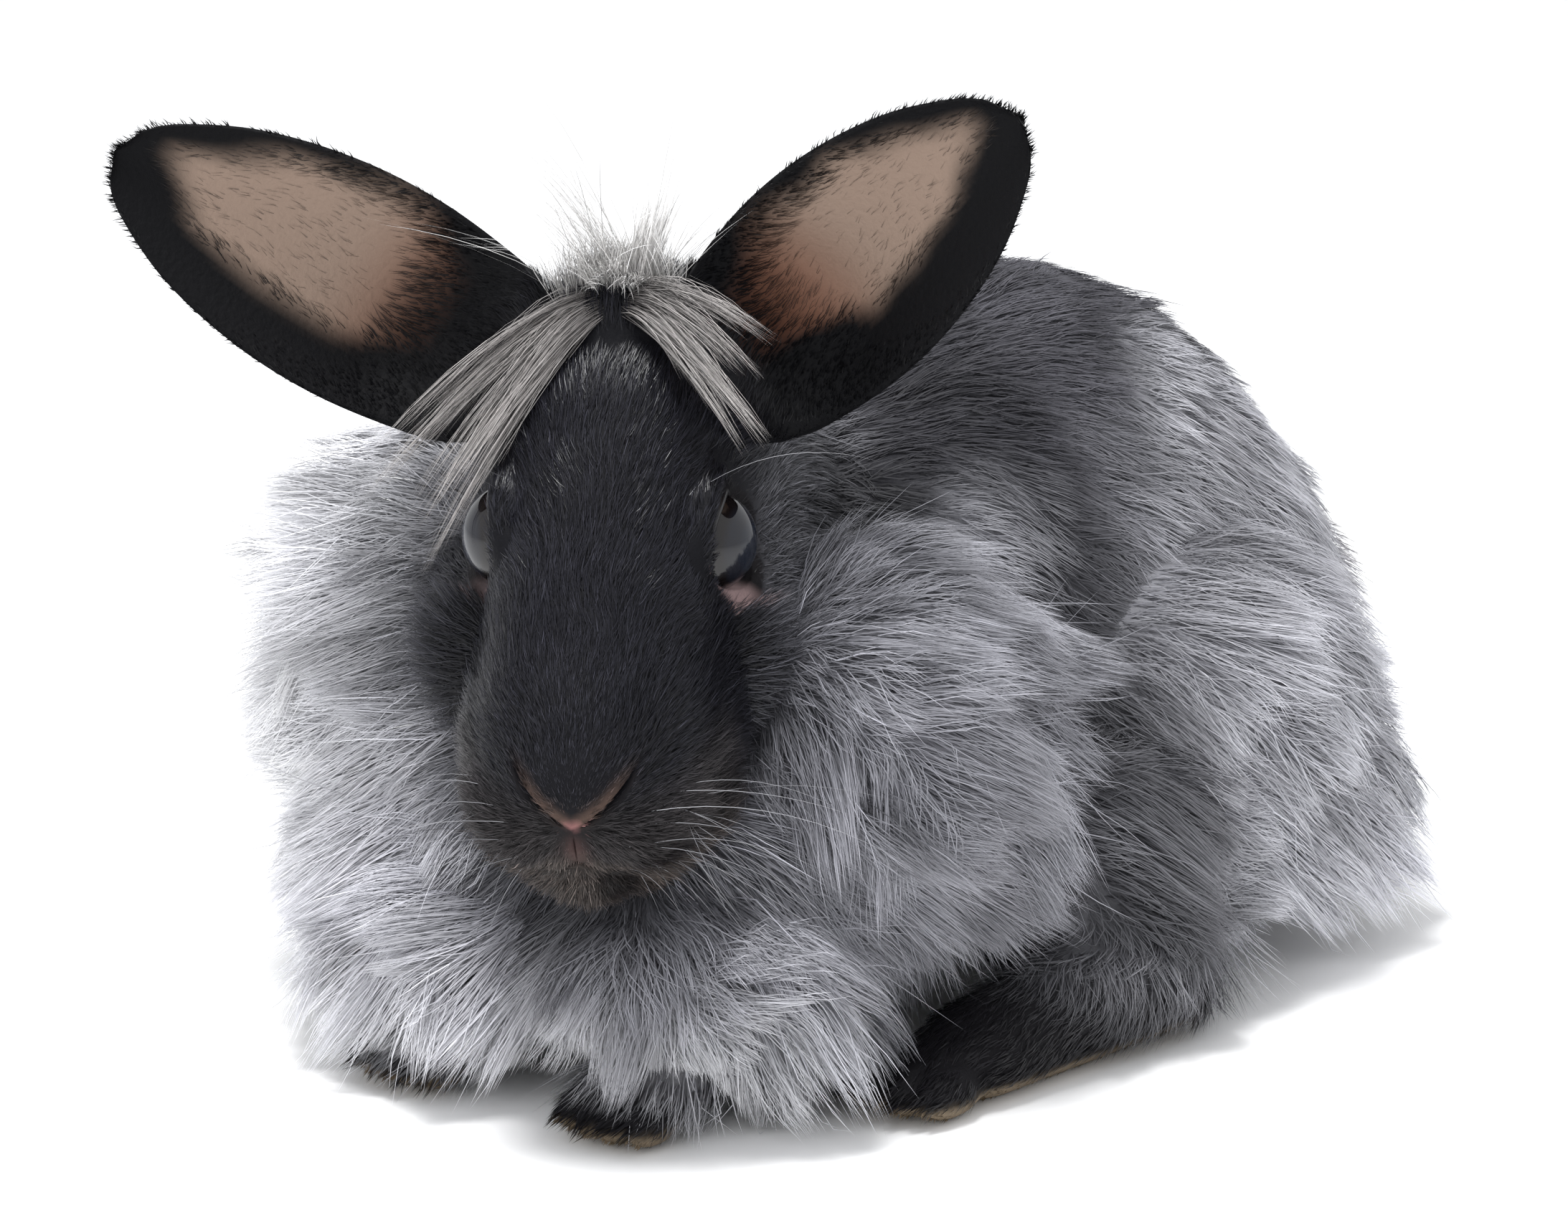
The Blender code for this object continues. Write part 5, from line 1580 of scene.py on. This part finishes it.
def add_lid_rim(side, finish):
    """The bare edge of the lids, pale below and in front."""
    around, count = 64, 8
    up = Vector((side, 0.0, 0.0))
    rings = []
    for i in range(around):
        angle = math.tau * i / around
        middle = eye_rim_point(side, angle, 0.0)
        out = (eye_rim_point(side, angle, 0.3) - middle).normalized()
        turns = [math.tau * j / count for j in range(count)]
        rings.append([middle + (out * math.cos(turn) + up * math.sin(turn)) * LID_RIM for turn in turns])
    obj = ring_loop(f"lid_{SIDE_NAMES[side]}", rings)
    points = points_of(obj)
    angle = np.degrees(np.arctan2(points[:, 2], points[:, 1])) % 360.0
    pale = ramp(angle, 160.0, 190.0) * ramp(300.0 - angle, 0.0, 25.0)
    return finished_eye(obj, mixed(linear(LID_DARK), linear(LID_PINK), pale), finish)


def hair(start, way, reach, middle, end):
    """A single hair's root, middle and end in the head's own axes."""
    way = unit(np.array(way)) * reach
    return start, start + way * middle[0] + np.array(middle[1]), start + way + np.array(end)


def single_hairs(side, draw):
    """Whiskers in rows on the pad, finer hairs round the lips, and two over the eye."""
    made = []
    for k in range(WHISKERS):
        row, column = k % 4, k // 4
        start = np.array((side * (9.0 + 2.0 * column), -51.0 + 3.2 * column, -19.0 - 3.0 * row))
        way = (side * 1.0, draw.uniform(-0.1, 0.4), draw.uniform(-0.3, 0.3) - 0.16 * row)
        reach = draw.uniform(28.0, 46.0)
        made.append(hair(start, way, reach, (0.55, (0.0, -3.0, 6.0)), (0.0, 4.0, draw.uniform(-26.0, -10.0))))
    for _ in range(LIP_HAIRS):
        start = np.array((side * draw.uniform(5.0, 18.0), -46.0, draw.uniform(-30.0, -20.0)))
        way = (side * draw.uniform(0.3, 1.0), draw.uniform(-0.5, 0.1), draw.uniform(-0.7, 0.0))
        reach = draw.uniform(12.0, 24.0)
        made.append(hair(start, way, reach, (0.55, (0.0, -1.0, 2.0)), (0.0, 1.0, draw.uniform(-12.0, -4.0))))
    for k in range(BROW_HAIRS):
        start = np.array((side * 17.0, -2.0 + 4.0 * k, 13.0))
        way = (side * 0.9, draw.uniform(-0.4, 0.5), draw.uniform(0.2, 0.7))
        made.append(hair(start, way, draw.uniform(24.0, 40.0), (0.5, (0.0, 0.0, 5.0)), (0.0, 3.0, -6.0)))
    return made


def add_whiskers(tree, finish):
    draw = np.random.default_rng(SEED + 70)
    hairs = [found for side in (-1, 1) for found in single_hairs(side, draw)]
    starts, middles, ends = (np.array(values) for values in zip(*hairs))
    roots, normals = head_roots(starts, tree)
    middles, ends = head_places(middles), head_places(ends)
    paths = bent_strands(roots, middles, ends, 10)
    paths[..., 2] = np.maximum(paths[..., 2], 2.0)
    paths[..., 1] = np.maximum(paths[..., 1], FRONT_MOST)
    count = len(paths)
    dark = np.repeat([1.0, 0.0], count // 2) * draw.uniform(0.0, 1.0, count)
    colour = mixed(np.tile(linear(WHISKER_PALE), (count, 1)), linear(WHISKER_DARK), dark)
    width = np.where(np.linalg.norm(ends - roots, axis=1) > FINE_LENGTH, WHISKER_WIDTH, FINE_WIDTH)
    return add_coat("whiskers", paths, normals, width, colour, colour, "head", finish, draw)


# Finishes


def coat_material(name):
    roughness, specular, bump = FINISHES[name]
    made = bpy.data.materials.new(name)
    made.use_nodes = True
    nodes, links = made.node_tree.nodes, made.node_tree.links
    shader = nodes["Principled BSDF"]
    shader.inputs["Roughness"].default_value = roughness
    shader.inputs["Specular IOR Level"].default_value = specular
    colour = nodes.new("ShaderNodeAttribute")
    colour.attribute_name = "coat"
    links.new(colour.outputs["Color"], shader.inputs["Base Color"])
    if bump:
        noise = nodes.new("ShaderNodeTexNoise")
        noise.inputs["Scale"].default_value = BUMP_SCALE
        noise.inputs["Detail"].default_value = BUMP_DETAIL
        height = nodes.new("ShaderNodeBump")
        height.inputs["Strength"].default_value = bump
        height.inputs["Distance"].default_value = BUMP_HEIGHT
        place = nodes.new("ShaderNodeTexCoord")
        links.new(place.outputs["Object"], noise.inputs["Vector"])
        links.new(noise.outputs["Fac"], height.inputs["Height"])
        links.new(height.outputs["Normal"], shader.inputs["Normal"])
    return made


def to_frame(obj):
    """Moves a mesh from the axes that the solids were built in to where they stand."""
    obj.data.transform(Matrix.Translation(Vector(SHIFT) * MM))


def finish_skin(obj, fields):
    obj.name = "skin"
    to_frame(obj)
    for vertex in obj.data.vertices:
        vertex.co.z = max(vertex.co.z, 0.0)
    set_colours(obj.data, fields["skin_colour"])
    smooth(obj)
    obj.data.materials.clear()
    obj.data.materials.append(coat_material("skin"))


# Stage


def add_camera():
    towards, right, up = (CAMERA_AXES[name] for name in ("towards", "right", "up"))
    place = EYES + right * CAMERA_RIGHT + up * CAMERA_UP + towards * CAMERA_DISTANCE
    data = bpy.data.cameras.new("camera")
    data.lens = CAMERA_LENS
    data.sensor_width = 36.0
    data.clip_start = 0.05
    camera = placed("camera", data)
    turn = Matrix((right, up, towards)).transposed().to_4x4()
    camera.matrix_world = Matrix.Translation((place + Vector(SHIFT)) * MM) @ turn
    bpy.context.scene.camera = camera


def add_light(name, place, target, size, power):
    data = bpy.data.lights.new(name, "AREA")
    data.shape = "DISK"
    data.size = size
    data.energy = power
    light = placed(name, data)
    way = Vector(target) - Vector(place)
    light.matrix_world = Matrix.Translation(place) @ way.to_track_quat("-Z", "Y").to_matrix().to_4x4()


def add_world():
    world = bpy.data.worlds.new("world")
    bpy.context.scene.world = world
    world.use_nodes = True
    nodes, links = world.node_tree.nodes, world.node_tree.links
    nodes.clear()
    output = nodes.new("ShaderNodeOutputWorld")
    seen = nodes.new("ShaderNodeBackground")
    seen.inputs["Color"].default_value = WORLD_SEEN
    fill = nodes.new("ShaderNodeBackground")
    fill.inputs["Color"].default_value = WORLD_FILL
    path = nodes.new("ShaderNodeLightPath")
    choice = nodes.new("ShaderNodeMixShader")
    links.new(path.outputs["Is Camera Ray"], choice.inputs["Fac"])
    links.new(fill.outputs["Background"], choice.inputs[1])
    links.new(seen.outputs["Background"], choice.inputs[2])
    links.new(choice.outputs["Shader"], output.inputs["Surface"])


def add_floor():
    mesh = bpy.data.meshes.new("floor")
    h = FLOOR_HALF
    mesh.from_pydata([(-h, -h, 0), (h, -h, 0), (h, h, 0), (-h, h, 0)], [], [(0, 1, 2, 3)])
    floor = placed("floor", mesh)
    white = bpy.data.materials.new("floor")
    white.use_nodes = True
    shader = white.node_tree.nodes["Principled BSDF"]
    shader.inputs["Base Color"].default_value = FLOOR_WHITE
    shader.inputs["Roughness"].default_value = 0.8
    mesh.materials.append(white)


def frame_shift():
    """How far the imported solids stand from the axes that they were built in, in millimetres."""
    low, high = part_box("eye_left")
    middle = (Vector(low) + Vector(high)) / 2 / MM
    return np.array(middle - (EYES + HEAD_TURN @ Vector((EYE_SIDE, 0.0, 0.0))))


def add_skin():
    """The one skin in place of the solids of flesh."""
    skin, trees = build_skin()
    fields = skin_fields(skin, trees)
    finish_skin(skin, fields)
    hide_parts(*SKIN_NODES)
    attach(skin, "root")
    return fields, trees["head"]


def add_fur(fields, head_tree):
    finishes = {"sleek": coat_material("sleek_fur"), "soft": coat_material("soft_fur")}
    coats = grow_coats(fields, finishes)
    coats["forelock_fur"] = add_forelocks(head_tree, finishes["soft"])
    coats["whiskers"] = add_whiskers(head_tree, finishes["sleek"])
    for name, pieces in coats.items():
        for piece in pieces:
            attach(piece, "root")


def add_eyes():
    """Eyeballs in place of the solid ones, and the edges of the lids."""
    glossy = coat_material("eye")
    moist = coat_material("lid")
    for side, name in SIDE_NAMES.items():
        eyeball = add_eye(side, glossy)
        rim = add_lid_rim(side, moist)
        for obj, slot in ((eyeball, "eye"), (rim, "black_fur")):
            to_frame(obj)
            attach(obj, "root")
        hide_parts("eye_" + name)


def add_stage():
    add_camera()
    add_world()
    for name, settings in LIGHTS.items():
        add_light(name, *settings)
    add_floor()
    bpy.context.scene.view_settings.view_transform = "Standard"


def main():
    global SHIFT
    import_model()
    SHIFT = frame_shift()
    add_fur(*add_skin())
    add_eyes()
    add_stage()


main()
